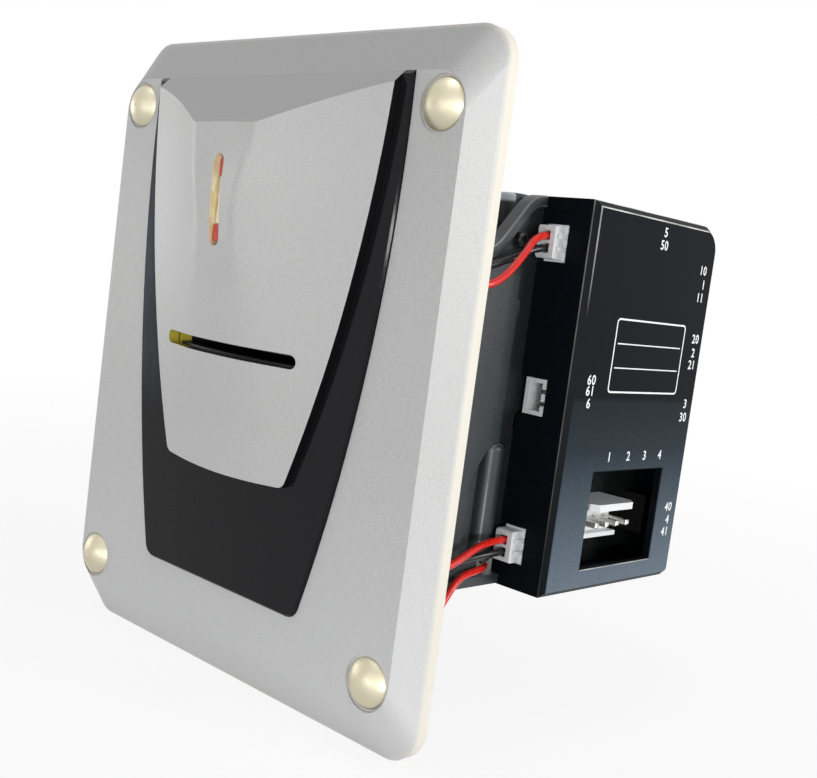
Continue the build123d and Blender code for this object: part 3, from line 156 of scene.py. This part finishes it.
# Materials. Every one works on the object's own coordinates, so it holds still when a piece moves.
class Shader:
    """A node tree with the Principled shader at its end."""

    def __init__(self, name):
        self.material = bpy.data.materials.new(name)
        self.material.use_nodes = True
        self.tree = self.material.node_tree
        self.surface = self.tree.nodes["Principled BSDF"]
        texture = self.add("ShaderNodeTexCoord")
        self.place = texture.outputs["Object"]
        self.normal = texture.outputs["Normal"]

    def add(self, kind, **settings):
        return add_node(self.tree, kind, **settings)

    def link(self, source, target):
        self.tree.links.new(source, target)

    def set(self, name, value):
        """One value for the whole surface."""
        self.surface.inputs[name].default_value = value

    def noise(self, scale, detail=3.0, roughness=0.55, stretch=None):
        """A noise between 0 and 1. stretch gives a scale along each axis."""
        node = self.add("ShaderNodeTexNoise")
        node.inputs["Scale"].default_value = scale
        node.inputs["Detail"].default_value = detail
        node.inputs["Roughness"].default_value = roughness
        source = self.place
        if stretch:
            mapping = self.add("ShaderNodeMapping")
            mapping.inputs["Scale"].default_value = stretch
            self.link(source, mapping.inputs["Vector"])
            source = mapping.outputs["Vector"]
        self.link(source, node.inputs["Vector"])
        return node.outputs["Fac"]

    def mapped(self, value, low, high, start=0.0, end=1.0):
        """low up to where the value is start, high from where it is end."""
        node = self.add("ShaderNodeMapRange")
        node.inputs["From Min"].default_value = start
        node.inputs["From Max"].default_value = end
        node.inputs["To Min"].default_value = low
        node.inputs["To Max"].default_value = high
        self.link(value, node.inputs["Value"])
        return node.outputs["Result"]

    def math(self, operation, first, second=None):
        node = self.add("ShaderNodeMath", operation=operation)
        for socket, value in zip(node.inputs, (first, second)):
            if value is None:
                continue
            if isinstance(value, (int, float)):
                socket.default_value = value
            else:
                self.link(value, socket)
        return node.outputs["Value"]

    def mixed(self, share, first, second):
        """first where share is 0, second where it is 1. Each is a colour or a socket."""
        node = self.add("ShaderNodeMix", data_type="RGBA")
        self.link(share, node.inputs["Factor"])
        colours = node.inputs[6:8]  # the two that a mix of colours uses
        for socket, value in zip(colours, (first, second)):
            if isinstance(value, tuple):
                socket.default_value = (*value, 1.0)
            else:
                self.link(value, socket)
        return node.outputs[2]

    def parts(self, vector):
        node = self.add("ShaderNodeSeparateXYZ")
        self.link(vector, node.inputs["Vector"])
        return node.outputs["X"], node.outputs["Y"], node.outputs["Z"]

    def axes(self):
        """The place on the object along X, Y and Z, in millimetres."""
        scaled = self.add("ShaderNodeVectorMath", operation="SCALE")
        scaled.inputs["Scale"].default_value = 1 / MM
        self.link(self.place, scaled.inputs[0])
        return self.parts(scaled.outputs["Vector"])

    def size(self, value):
        return self.math("ABSOLUTE", value)

    def above(self, value, limit):
        return self.math("GREATER_THAN", value, limit)

    def below(self, value, limit):
        return self.math("LESS_THAN", value, limit)

    def near(self, value, middle, reach):
        """1 where the value lies within reach of middle, else 0."""
        return self.below(self.size(self.math("SUBTRACT", value, middle)), reach)

    def all_of(self, *shares):
        share = shares[0]
        for other in shares[1:]:
            share = self.math("MULTIPLY", share, other)
        return share

    def any_of(self, *shares):
        share = shares[0]
        for other in shares[1:]:
            share = self.math("MAXIMUM", share, other)
        return share

    def ragged(self, value, noise, reach):
        """The value, moved by the noise over a span of reach."""
        return self.math("ADD", value, self.math("MULTIPLY", self.math("SUBTRACT", noise, 0.5), reach))

    def specked(self, noise, first, second, start=0.3, end=0.7):
        return self.mixed(self.mapped(noise, 0.0, 1.0, start, end), first, second)

    def bump(self, height, distance, strength=1.0):
        """Relief of at most distance, in millimetres."""
        node = self.add("ShaderNodeBump")
        node.inputs["Distance"].default_value = distance * MM
        node.inputs["Strength"].default_value = strength
        self.link(height, node.inputs["Height"])
        self.link(node.outputs["Normal"], self.surface.inputs["Normal"])

    def paint(self, colour=None, roughness=None, metallic=None):
        for name, value in (("Base Color", colour), ("Roughness", roughness), ("Metallic", metallic)):
            if value is not None:
                self.link(value, self.surface.inputs[name])


def plastic(name, colour, other, roughness=0.4, spread=0.1, grain=2600.0, depth=0.02, level=0.5):
    """Moulded plastic or another plain finish: a fine grain, slow patches and a bump."""
    shader = Shader(name)
    fine = shader.noise(grain, detail=4.0)
    slow = shader.noise(60.0, detail=2.0)
    share = shader.math("ADD", shader.math("MULTIPLY", fine, 0.6), shader.math("MULTIPLY", slow, 0.4))
    shader.paint(colour=shader.specked(share, colour, other),
                 roughness=shader.mapped(fine, roughness - spread, roughness + spread, 0.25, 0.75))
    shader.bump(fine, depth)
    shader.set("Specular IOR Level", level)
    return shader.material


def brushed(name, colour, other, roughness=0.3, stretch=(1.0, 1.0, 12.0)):
    """Bare or plated metal with fine marks. stretch gives their scale along each axis."""
    shader = Shader(name)
    marks = shader.noise(900.0, detail=5.0, roughness=0.6, stretch=stretch)
    slow = shader.noise(90.0)
    shader.paint(colour=shader.mixed(slow, colour, other),
                 roughness=shader.mapped(marks, roughness - 0.12, roughness + 0.12, 0.3, 0.7))
    shader.bump(marks, 0.012)
    shader.set("Metallic", 1.0)
    return shader.material


def glossy(name, colour, other, level=0.35):
    """Smooth soft plastic, as on the leads."""
    shader = Shader(name)
    fine = shader.noise(1200.0)
    slow = shader.noise(150.0, detail=2.0)
    shader.paint(colour=shader.mixed(slow, colour, other),
                 roughness=shader.mapped(fine, 0.16, 0.30, 0.3, 0.7))
    shader.bump(fine, 0.015)
    shader.set("Specular IOR Level", level)
    return shader.material


TICKET_YELLOW = (0.52, 0.44, 0.06)


def silver_with_painted_light(shader, flake, slow, z, normal_z):
    """The silver, with painted light and shade: paler low down (painted light), darker near the top and on
    slopes that face up (painted shade).
    """
    painted_light_span = (-10.0, 6.0 - bezel_high.z)
    painted_shade_span = (10.0, bezel_high.z - 10.0)
    tone = shader.specked(flake, (0.39, 0.39, 0.385), (0.58, 0.58, 0.575), 0.34, 0.66)
    tone = shader.mixed(shader.mapped(slow, 0.0, 0.5, 0.35, 0.75), tone, (0.475, 0.475, 0.475))
    # painted light low down and painted shade near the top
    tone = shader.mixed(shader.mapped(z, 0.0, 0.50, *painted_light_span), tone, (0.63, 0.63, 0.64))
    tone = shader.mixed(shader.mapped(z, 0.0, 0.34, *painted_shade_span), tone, (0.40, 0.40, 0.40))
    # painted shade on slopes that face up
    return shader.mixed(shader.mapped(normal_z, 0.0, 0.26, 0.3, 0.66), tone, (0.0, 0.0, 0.0))


def bare_plastic(shader, x, y, z, normal_y):
    """1 where the bezel isn't painted: on its rim, on its back and in its hollow."""
    rim_blend = 0.6
    hollow_depth = 7.4
    hollow_side = bezel_high.x - 3.05
    hollow_end = bezel_high.z - 10.0
    side_slope = SIDE_BEVEL / (FACE_DEPTH - RIM_DEPTH)
    end_slope = END_BEVEL / (FACE_DEPTH - RIM_DEPTH)
    side_limit = bezel_high.x - 0.15
    end_limit = bezel_high.z + 2.0
    edge = shader.ragged(y, shader.noise(700.0), 0.4)
    rim = shader.mapped(edge, 0.0, 1.0, -RIM_DEPTH - rim_blend, rim_blend - RIM_DEPTH)
    hollow = shader.all_of(shader.above(y, -hollow_depth), shader.near(x, 0.0, hollow_side),
                           shader.near(z, 0.0, hollow_end))
    behind = shader.math("SUBTRACT", 0.0, y)
    side_skin = shader.math("ADD", shader.size(x), shader.math("MULTIPLY", behind, side_slope))
    end_skin = shader.math("ADD", shader.size(z), shader.math("MULTIPLY", behind, end_slope))
    back = shader.all_of(shader.above(normal_y, 0.05), shader.below(side_skin, side_limit),
                         shader.below(end_skin, end_limit))
    return shader.any_of(rim, hollow, back)


def silver_paint():
    """Fine metallic paint over ivory plastic, with painted light and shade in the silver. The hood's side
    walls are black, and its two openings have tones of their own inside; the slot's is mostly painted
    shade."""
    wall_start = 18.5  # the hood's side walls lie further out or further down
    foot_level = -15.0
    yellow_end = (-12.2, -11.2)
    shader = Shader("silver_paint")
    x, y, z = shader.axes()
    _, normal_y, normal_z = shader.parts(shader.normal)
    side_y = shader.size(normal_y)
    side_z = shader.size(normal_z)
    flake = shader.noise(4200.0, detail=5.0, roughness=0.7)
    slow = shader.noise(26.0, detail=2.0)
    ivory = shader.mixed(slow, (0.65, 0.62, 0.54), (0.70, 0.67, 0.60))
    bare = bare_plastic(shader, x, y, z, normal_y)
    colour = shader.mixed(bare, silver_with_painted_light(shader, flake, slow, z, normal_z), ivory)

    # the hood's side walls, in front of the face
    in_slot = shader.all_of(shader.near(z, SLOT_Z, SLOT_HEIGHT / 2 + OPENING_MARGIN),
                            shader.near(x, 0.0, SLOT_LENGTH / 2 + OPENING_MARGIN))
    ahead = shader.below(y, -FACE_DEPTH - 0.05)
    outward = shader.above(shader.any_of(shader.size(x), shader.math("SUBTRACT", 0.0, z)), wall_start)
    upright = shader.any_of(shader.below(side_z, 0.6), shader.below(z, foot_level))
    wall = shader.all_of(ahead, shader.below(side_y, 0.2), outward, upright,
                         shader.math("SUBTRACT", 1.0, in_slot))
    colour = shader.mixed(wall, colour, (0.004, 0.004, 0.005))

    # inside the slot, painted shade near black that turns yellow at its left end; inside the window, ochre
    # streaks
    inner = shader.below(side_y, 0.35)
    slot = shader.all_of(in_slot, inner)
    slot_shade_and_yellow = shader.mixed(shader.mapped(x, 1.0, 0.0, *yellow_end), (0.03, 0.03, 0.028), TICKET_YELLOW)
    colour = shader.mixed(slot, colour, slot_shade_and_yellow)
    window = shader.all_of(shader.near(x, 0.0, WINDOW_WIDTH / 2 + OPENING_MARGIN),
                           shader.near(z, WINDOW_Z, WINDOW_HEIGHT / 2 + OPENING_MARGIN), inner)
    streak = shader.noise(900.0, detail=2.0, stretch=(1.0, 1.0, 0.3))
    ochre = shader.specked(streak, (0.72, 0.60, 0.33), (0.86, 0.80, 0.62), 0.40, 0.62)
    colour = shader.mixed(window, colour, ochre)

    shader.paint(colour=colour, roughness=shader.mapped(flake, 0.36, 0.52, 0.3, 0.7),
                 metallic=shader.mapped(shader.any_of(bare, wall, slot), 0.12, 0.0))
    shader.bump(flake, 0.02, 0.6)
    shader.set("Specular IOR Level", 0.25)
    return shader.material


def trim_gloss():
    """Polished black, with a painted slate reflection along the left arm above its bend."""
    arm_span = (-33.0, -20.0)
    bend_span = (-14.0, -1.0)
    shader = Shader("black_gloss")
    x, y, z = shader.axes()
    fine = shader.noise(900.0)
    drift = shader.noise(90.0, roughness=0.6, stretch=(1.0, 1.0, 0.35))
    # painted reflection: slate blue along the left arm, above its bend
    slate_reflection = shader.all_of(shader.mapped(x, 1.0, 0.0, *arm_span), shader.mapped(drift, 0.2, 1.0, 0.3, 0.7),
                          shader.below(y, -FACE_DEPTH), shader.mapped(z, 0.0, 1.0, *bend_span))
    black = shader.mixed(fine, (0.006, 0.006, 0.007), (0.010, 0.010, 0.012))
    shader.paint(colour=shader.mixed(slate_reflection, black, (0.060, 0.072, 0.085)),
                 roughness=shader.mapped(fine, 0.08, 0.13, 0.3, 0.7))
    shader.bump(fine, 0.004)
    shader.set("Specular IOR Level", 0.12)
    return shader.material


def on_outer_face(shader, x):
    """1 on the box's flat outer face, else 0."""
    return shader.above(x, case_high.x - 0.15)


def case_black_with_reflection(shader, x, z, fine, slow):
    """Black, with a painted blue-grey reflection on the lower half of the outer face that grows downwards.
    """
    reflection_top = 1.0
    reflection_blend = 1.2
    reflection_start = -9.0
    reflection_full = case_low.z - reflection_blend
    speck = shader.mapped(fine, 0.0, 1.0, 0.30, 0.70)
    upper = shader.mixed(speck, (0.002, 0.003, 0.004), (0.005, 0.007, 0.010))
    lower = shader.mixed(speck, (0.010, 0.016, 0.022), (0.026, 0.036, 0.046))
    deepest = shader.mixed(speck, (0.085, 0.114, 0.143), (0.145, 0.185, 0.224))
    # painted reflection, paler further down the outer face
    face_reflection = shader.mixed(shader.mapped(z, 1.0, 0.0, reflection_full, reflection_start), lower, deepest)
    face_reflection = shader.mixed(shader.mapped(z, 0.0, 1.0, reflection_start, reflection_top), face_reflection, (0.010, 0.015, 0.019))
    edge = shader.ragged(z, slow, 1.6)
    below = shader.mapped(edge, 1.0, 0.0, reflection_top, reflection_top + reflection_blend)
    return shader.mixed(shader.all_of(below, on_outer_face(shader, x)), upper, face_reflection)


def painted_edge_highlights(shader, x, y, z, slow):
    """1 along the box's edges that carry a painted highlight: both sides of the chamfer and one opening."""
    inner_x = case_high.x - CASE_CHAMFER
    inner_y = case_low.y + CASE_CHAMFER
    inner_z = case_high.z - CASE_CHAMFER
    upright_span = (18.0, 38.0)
    front_span = (-30.0, 38.0)
    lip_middle = sum(POWER_OPENING_Y) / 2
    lip_reach = (POWER_OPENING_Y[1] - POWER_OPENING_Y[0]) / 2
    corner = shader.all_of(shader.near(x, case_high.x, 0.16), shader.near(z, inner_z, 0.14))
    ridge = shader.all_of(shader.near(x, inner_x, 0.16), shader.near(z, case_high.z, 0.12))
    upright = shader.all_of(shader.near(x, case_high.x, 0.14), shader.near(y, inner_y, 0.13),
                            shader.mapped(z, 0.0, 0.9, *upright_span))
    front = shader.all_of(shader.near(x, inner_x, 0.12), shader.near(y, case_low.y, 0.12),
                          shader.mapped(z, 0.04, 0.32, *front_span))
    lip = shader.all_of(on_outer_face(shader, x), shader.near(z, POWER_OPENING_LOW - 0.05, 0.22),
                        shader.near(y, lip_middle, lip_reach))
    edge_highlight = shader.any_of(corner, ridge, upright, front, lip)
    return shader.all_of(edge_highlight, shader.mapped(slow, 0.45, 1.0, 0.3, 0.6))


def box_black():
    """Satin black with a painted reflection and painted highlights along its edges."""
    shader = Shader("case_black")
    x, y, z = shader.axes()
    fine = shader.noise(3200.0, detail=4.0)
    slow = shader.noise(120.0, detail=2.0)
    colour = case_black_with_reflection(shader, x, z, fine, slow)
    # painted highlights along the edges, pale over the black
    shader.paint(colour=shader.mixed(painted_edge_highlights(shader, x, y, z, slow), colour, (0.62, 0.61, 0.58)),
                 roughness=shader.mapped(fine, 0.30, 0.44, 0.25, 0.75))
    shader.bump(fine, 0.02)
    shader.set("Specular IOR Level", 0.04)
    return shader.material


def chassis_finish():
    """Dark grey, with painted shade nearly black in the step behind the raised panel, a painted reflection
    on the cover's front edge and a painted highlight line along the side frame's lip.
    """
    step_shade_span = (27.0, 27.6)
    cover_reflection_span = (38.8, 39.4)
    lip_highlight_x = FRAME_OUTER + 0.85
    shader = Shader("chassis_grey")
    x, y, z = shader.axes()
    fine = shader.noise(2600.0, detail=4.0)
    slow = shader.noise(70.0, detail=2.0)
    speck = shader.math("ADD", shader.math("MULTIPLY", fine, 0.5), shader.math("MULTIPLY", slow, 0.5))
    colour = shader.specked(speck, (0.016, 0.0195, 0.0225), (0.026, 0.0305, 0.0345), 0.32, 0.68)
    # painted shade in the step behind the raised panel
    step = shader.all_of(shader.mapped(y, 0.0, 1.0, *step_shade_span), shader.near(x, FRAME_OUTER, 0.4))
    colour = shader.mixed(step, colour, (0.010, 0.012, 0.014))
    # painted reflection on the cover's front edge
    edge = shader.all_of(shader.near(y, COVER_FRONT + 0.2, 0.6), shader.mapped(z, 0.0, 1.0, *cover_reflection_span),
                         shader.near(x, 0.0, cover_high.x - 1.5))
    colour = shader.mixed(edge, colour, (0.42, 0.46, 0.49))
    # painted highlight line along the side frame's lip
    lip_highlight = shader.all_of(shader.near(shader.size(x), lip_highlight_x, 0.13), shader.mapped(slow, 0.3, 1.0, 0.35, 0.60))
    colour = shader.mixed(lip_highlight, colour, (0.20, 0.22, 0.235))
    shader.paint(colour=colour, roughness=shader.mapped(fine, 0.34, 0.52, 0.25, 0.75))
    shader.bump(fine, 0.03)
    shader.set("Specular IOR Level", 0.5)
    return shader.material


def guide_finish():
    """Black, with the left end of the ticket mouth yellow."""
    mouth_left = -18.6
    mouth_back = -7.5
    shader = Shader("guide_black")
    x, y, z = shader.axes()
    fine = shader.noise(2600.0, detail=4.0)
    black = shader.specked(fine, (0.010, 0.010, 0.011), (0.020, 0.020, 0.021))
    mouth = shader.all_of(shader.below(x, mouth_left), shader.below(y, mouth_back),
                          shader.near(z, SLOT_Z, 1.8))
    shader.paint(colour=shader.mixed(mouth, black, TICKET_YELLOW),
                 roughness=shader.mapped(fine, 0.32, 0.52, 0.25, 0.75))
    shader.bump(fine, 0.02)
    shader.set("Specular IOR Level", 0.2)
    return shader.material


def shaft_finish():
    """Drawn steel, near black at its ends."""
    shader = Shader("shaft_steel")
    x = shader.axes()[0]
    marks = shader.noise(900.0, detail=5.0, roughness=0.6, stretch=(0.1, 1.0, 1.0))
    slow = shader.noise(90.0)
    ends = shader.above(shader.size(x), FRAME_OUTER - 0.8)
    steel = shader.mixed(slow, (0.72, 0.72, 0.73), (0.60, 0.60, 0.62))
    shader.paint(colour=shader.mixed(ends, steel, (0.02, 0.02, 0.02)),
                 roughness=shader.mapped(marks, 0.16, 0.38, 0.3, 0.7))
    shader.bump(marks, 0.012)
    shader.set("Metallic", 1.0)
    return shader.material


def lens_finish():
    """Milky plastic lit red by the two lamps behind its ends."""
    upper_lamp = (36.8, 39.2)
    lower_lamp = (22.6, 25.0)
    shader = Shader("lens_cream")
    z = shader.axes()[2]
    slow = shader.noise(500.0, detail=2.0)
    cream = shader.mixed(slow, (0.88, 0.80, 0.60), (0.80, 0.70, 0.48))
    red = shader.any_of(shader.mapped(z, 0.0, 1.0, *upper_lamp), shader.mapped(z, 1.0, 0.0, *lower_lamp))
    shader.paint(colour=shader.mixed(red, cream, (0.62, 0.07, 0.03)),
                 roughness=shader.mapped(slow, 0.18, 0.32, 0.3, 0.7))
    shader.set("Coat Weight", 0.4)
    return shader.material


finishes = {
    "silver_paint": silver_paint(),
    "black_gloss": trim_gloss(),
    "nickel": brushed("nickel", (0.64, 0.60, 0.45), (0.56, 0.52, 0.39), roughness=0.46,
                      stretch=(0.4, 0.4, 0.4)),
    "lamp_red": glossy("lamp_red", (0.58, 0.085, 0.060), (0.46, 0.060, 0.045)),
    "lens_cream": lens_finish(),
    "board": plastic("board", (0.005, 0.006, 0.006), (0.010, 0.012, 0.012), roughness=0.34, spread=0.08,
                     grain=700.0, level=0.12),
    "chassis_grey": chassis_finish(),
    "guide_black": guide_finish(),
    "case_black": box_black(),
    "screw_black": plastic("screw_black", (0.008, 0.008, 0.008), (0.018, 0.018, 0.018), roughness=0.30,
                           spread=0.08, grain=1500.0, level=0.4),
    "steel": brushed("steel", (0.66, 0.66, 0.67), (0.54, 0.54, 0.56), roughness=0.34,
                     stretch=(1.0, 1.0, 1.0)),
    "shaft_steel": shaft_finish(),
    "rubber": plastic("rubber", (0.030, 0.030, 0.030), (0.050, 0.050, 0.048), roughness=0.72, spread=0.12,
                      grain=1800.0, depth=0.05),
    "gear_white": plastic("gear_white", (0.80, 0.79, 0.74), (0.70, 0.69, 0.63), roughness=0.38),
    "motor_can": brushed("motor_can", (0.60, 0.60, 0.61), (0.50, 0.50, 0.52), roughness=0.30,
                         stretch=(0.1, 1.0, 1.0)),
    "connector_white": plastic("connector_white", (0.71, 0.72, 0.73), (0.63, 0.65, 0.66), roughness=0.34,
                               spread=0.06, grain=1500.0, level=0.3),
    "pin_tin": brushed("pin_tin", (0.74, 0.73, 0.70), (0.62, 0.61, 0.57), roughness=0.24),
    "lead_red": glossy("lead_red", (0.60, 0.016, 0.010), (0.50, 0.012, 0.008)),
    "lead_black": glossy("lead_black", (0.010, 0.010, 0.011), (0.018, 0.018, 0.020), level=0.25),
    "switch_black": plastic("switch_black", (0.007, 0.007, 0.007), (0.013, 0.013, 0.013), roughness=0.40,
                            level=0.15),
    "knob_white": plastic("knob_white", (0.80, 0.80, 0.78), (0.70, 0.70, 0.66), roughness=0.36),
}
for entry in frame["record"]["subparts"]:
    mesh = nodes[entry["node"]].data
    mesh.materials.clear()
    mesh.materials.append(finishes[entry["material_slot"]])


def link(piece, slot=None):
    """Put a piece into the scene, on the body that doesn't move."""
    scene.collection.objects.link(piece)
    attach(piece, "dispenser")
    if slot:
        piece.data.materials.append(finishes[slot])
    return piece


# Leads: a smooth spline on the route's own points.
def spline_on(data, points):
    data.dimensions = "3D"
    data.resolution_u = 12
    spline = data.splines.new("NURBS")
    spline.points.add(len(points) - 1)
    for control, point in zip(spline.points, points):
        control.co = (*(value * MM for value in point), 1.0)
        control.radius = LEAD_DIAMETER / 2 * MM
    spline.order_u = 3
    spline.use_endpoint_u = True


def route_length(points):
    """Length of the smooth line on these points, in metres, as the curve itself gives it."""
    data = bpy.data.curves.new("measure", "CURVE")
    spline_on(data, points)
    carrier = bpy.data.objects.new("measure", data)
    mesh = bpy.data.meshes.new_from_object(carrier)
    total = 0.0
    for edge in mesh.edges:
        first, second = edge.vertices
        total += (mesh.vertices[first].co - mesh.vertices[second].co).length
    bpy.data.objects.remove(carrier)
    bpy.data.meshes.remove(mesh)
    return total


def make_lead(node, points, slot):
    data = bpy.data.curves.new(node + "_wire", "CURVE")
    spline_on(data, points)
    data.bevel_depth = 1.0
    data.bevel_resolution = 6
    data.use_fill_caps = True
    piece = link(bpy.data.objects.new(node + "_wire", data), slot=slot)
    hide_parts(node)
    route_length(points)


for node, points in ROUTES.items():
    make_lead(node, points, "lead_red" if node.endswith("red") else "lead_black")

# Print on the control box's outer face, in millimetres: plain numbers and an empty ruled frame. Each
# number has its Y, its Z and its text.
PRINT_STAND = 0.03
NUMBER_HEIGHT = 1.95
LETTER_SHARE = 0.7  # a figure's height, as a share of the font's size
STROKE_SPREAD = 0.05
NUMBERS = [
    (57.8, 37.3, "5"), (57.8, 34.6, "50"),
    (75.5, 30.9, "10"), (76.5, 27.8, "1"), (75.8, 24.9, "11"),
    (76.7, 15.7, "20"), (76.6, 12.6, "2"), (76.7, 9.9, "21"),
    (76.55, 1.1, "3"), (76.4, -1.95, "30"),
    (76.2, -22.5, "40"), (76.6, -25.45, "4"), (76.2, -28.2, "41"),
    (38.2, 5.6, "60"), (38.2, 3.4, "61"), (38.2, 0.85, "6"),
    (48.8, -10.35, "1"), (56.1, -10.35, "2"), (62.6, -10.35, "3"), (68.9, -10.35, "4"),
]
LABEL_LOW = (44.4, 3.2)
LABEL_HIGH = (71.8, 18.6)
LABEL_CORNER = 1.0
LABEL_LINE = 0.36
LABEL_RULES = (13.4, 8.4)
RULE_INSET = 1.2
CORNER_STEPS = 6
on_face = Matrix(((0, 0, 1), (1, 0, 0), (0, 1, 0))).to_4x4()
ink = plastic("print_white", (0.80, 0.82, 0.82), (0.66, 0.68, 0.69), roughness=0.5, spread=0.08,
              grain=5000.0, depth=0.01)


def on_print(y, z):
    """A place on the print, in metres."""
    return (case_high.x + PRINT_STAND) * MM, y * MM, z * MM


def number(name, text, y, z):
    data = bpy.data.curves.new(name, "FONT")
    data.body = text
    data.size = NUMBER_HEIGHT * MM / LETTER_SHARE
    data.align_x = "CENTER"
    data.align_y = "CENTER"
    data.offset = STROKE_SPREAD * MM
    data.space_character = 1.1
    data.resolution_u = 3
    piece = bpy.data.objects.new(name, data)
    piece.matrix_world = Matrix.Translation(on_print(y, z)) @ on_face
    link(piece)
    data.materials.append(ink)


def ruled_frame(name):
    """A rounded outline with thin ruled lines across it, as one flat mesh."""
    left, right = LABEL_LOW[0] + LABEL_CORNER, LABEL_HIGH[0] - LABEL_CORNER
    low, high = LABEL_LOW[1] + LABEL_CORNER, LABEL_HIGH[1] - LABEL_CORNER
    centres = [(right, high, 0), (left, high, 1), (left, low, 2), (right, low, 3)]
    points = []
    for radius in (LABEL_CORNER, LABEL_CORNER - LABEL_LINE):
        for y, z, quarter in centres:
            for step in range(CORNER_STEPS + 1):
                turn = (quarter + step / CORNER_STEPS) * pi / 2
                points.append(on_print(y + radius * cos(turn), z + radius * sin(turn)))
    count = len(points) // 2
    faces = [(i, (i + 1) % count, count + (i + 1) % count, count + i) for i in range(count)]
    rule_ends = (LABEL_LOW[0] + RULE_INSET, LABEL_HIGH[0] - RULE_INSET)
    for z in LABEL_RULES:
        first = len(points)
        points += [on_print(y, z - LABEL_LINE / 3) for y in rule_ends]
        points += [on_print(y, z + LABEL_LINE / 3) for y in reversed(rule_ends)]
        faces.append((first, first + 1, first + 2, first + 3))
    mesh = bpy.data.meshes.new(name)
    mesh.from_pydata(points, [], faces)
    mesh.materials.append(ink)
    link(bpy.data.objects.new(name, mesh))


for index, (y, z, text) in enumerate(NUMBERS, 1):
    number(f"number_{index:02d}", text, y, z)
ruled_frame("label_frame")

# The floor, the world and the lamps, in metres.
FLOOR_REACH = 6.0
FLOOR_GAP = 0.0002
GLOW_SPAN = (0.12, 0.55)  # the floor's white grows over these distances from the object
GLOW_NEAR = 0.88
SOFT_LIGHT = 0.22
LAMPS = [
    ("front", (0.12, -0.90, 0.01), 0.60, 0.14, 1.5),
    ("left", (-1.00, -0.25, 0.05), 0.40, 0.30, 1.3),
    ("right", (0.85, -0.60, -0.02), 0.50, 0.08, 4.5),
    ("behind", (0.90, 0.45, 0.25), 0.40, 0.30, 6.3),
    ("above", (0.0, -0.15, 1.00), 0.50, 0.50, 3.2),
]


def white_for_camera(tree):
    """1 where a ray comes from the camera, a mirror or through glass, else 0."""
    path = add_node(tree, "ShaderNodeLightPath")
    first = add_node(tree, "ShaderNodeMath", operation="MAXIMUM")
    second = add_node(tree, "ShaderNodeMath", operation="MAXIMUM")
    tree.links.new(path.outputs["Is Camera Ray"], first.inputs[0])
    tree.links.new(path.outputs["Is Glossy Ray"], first.inputs[1])
    tree.links.new(first.outputs[0], second.inputs[0])
    tree.links.new(path.outputs["Is Transmission Ray"], second.inputs[1])
    return second.outputs[0]


def floor_glow(tree):
    """The floor's share of plain white, which grows away from the object."""
    place = add_node(tree, "ShaderNodeTexCoord")
    away = add_node(tree, "ShaderNodeVectorMath", operation="LENGTH")
    fade = add_node(tree, "ShaderNodeMapRange", interpolation_type="SMOOTHSTEP")
    fade.inputs["From Min"].default_value = GLOW_SPAN[0]
    fade.inputs["From Max"].default_value = GLOW_SPAN[1]
    fade.inputs["To Min"].default_value = GLOW_NEAR
    fade.inputs["To Max"].default_value = 1.0
    share = add_node(tree, "ShaderNodeMath", operation="MULTIPLY")
    tree.links.new(place.outputs["Object"], away.inputs[0])
    tree.links.new(away.outputs["Value"], fade.inputs["Value"])
    tree.links.new(white_for_camera(tree), share.inputs[0])
    tree.links.new(fade.outputs["Result"], share.inputs[1])
    return share.outputs[0]


def floor_material():
    material = bpy.data.materials.new("floor_white")
    material.use_nodes = True
    tree = material.node_tree
    surface = tree.nodes["Principled BSDF"]
    surface.inputs["Base Color"].default_value = (0.86, 0.86, 0.86, 1.0)
    surface.inputs["Roughness"].default_value = 0.9
    surface.inputs["Specular IOR Level"].default_value = 0.1
    glow = add_node(tree, "ShaderNodeEmission")
    glow.inputs["Color"].default_value = (1.0, 1.0, 1.0, 1.0)
    glow.inputs["Strength"].default_value = 1.0
    mix = add_node(tree, "ShaderNodeMixShader")
    tree.links.new(floor_glow(tree), mix.inputs[0])
    tree.links.new(surface.outputs[0], mix.inputs[1])
    tree.links.new(glow.outputs[0], mix.inputs[2])
    tree.links.new(mix.outputs[0], tree.nodes["Material Output"].inputs["Surface"])
    return material


def make_floor():
    reach = FLOOR_REACH
    z = cad_low.z - FLOOR_GAP
    corners = [(-reach, -reach, z), (reach, -reach, z), (reach, reach, z), (-reach, reach, z)]
    mesh = bpy.data.meshes.new("floor")
    mesh.from_pydata(corners, [], [(0, 1, 2, 3)])
    mesh.materials.append(floor_material())
    floor = bpy.data.objects.new("floor", mesh)
    scene.collection.objects.link(floor)


def make_world():
    world = bpy.data.worlds.new("studio")
    scene.world = world
    world.use_nodes = True
    tree = world.node_tree
    tree.nodes.clear()
    output = add_node(tree, "ShaderNodeOutputWorld")
    soft = add_node(tree, "ShaderNodeBackground")
    soft.inputs["Color"].default_value = (0.97, 0.98, 1.0, 1.0)
    soft.inputs["Strength"].default_value = SOFT_LIGHT
    white = add_node(tree, "ShaderNodeBackground")
    white.inputs["Color"].default_value = (1.0, 1.0, 1.0, 1.0)
    white.inputs["Strength"].default_value = 1.0
    mix = add_node(tree, "ShaderNodeMixShader")
    tree.links.new(white_for_camera(tree), mix.inputs[0])
    tree.links.new(soft.outputs[0], mix.inputs[1])
    tree.links.new(white.outputs[0], mix.inputs[2])
    tree.links.new(mix.outputs[0], output.inputs["Surface"])


def softbox(name, place, width, height, power):
    """A rectangular lamp that looks at the origin."""
    data = bpy.data.lights.new(name, "AREA")
    data.shape = "RECTANGLE"
    data.size = width
    data.size_y = height
    data.energy = power
    lamp = bpy.data.objects.new(name, data)
    turn = (-Vector(place)).to_track_quat("-Z", "Y")
    lamp.matrix_world = Matrix.Translation(place) @ turn.to_matrix().to_4x4()
    scene.collection.objects.link(lamp)


make_floor()
make_world()
for lamp in LAMPS:
    softbox(*lamp)

scene.view_settings.view_transform = "Standard"

bpy.context.view_layer.update()
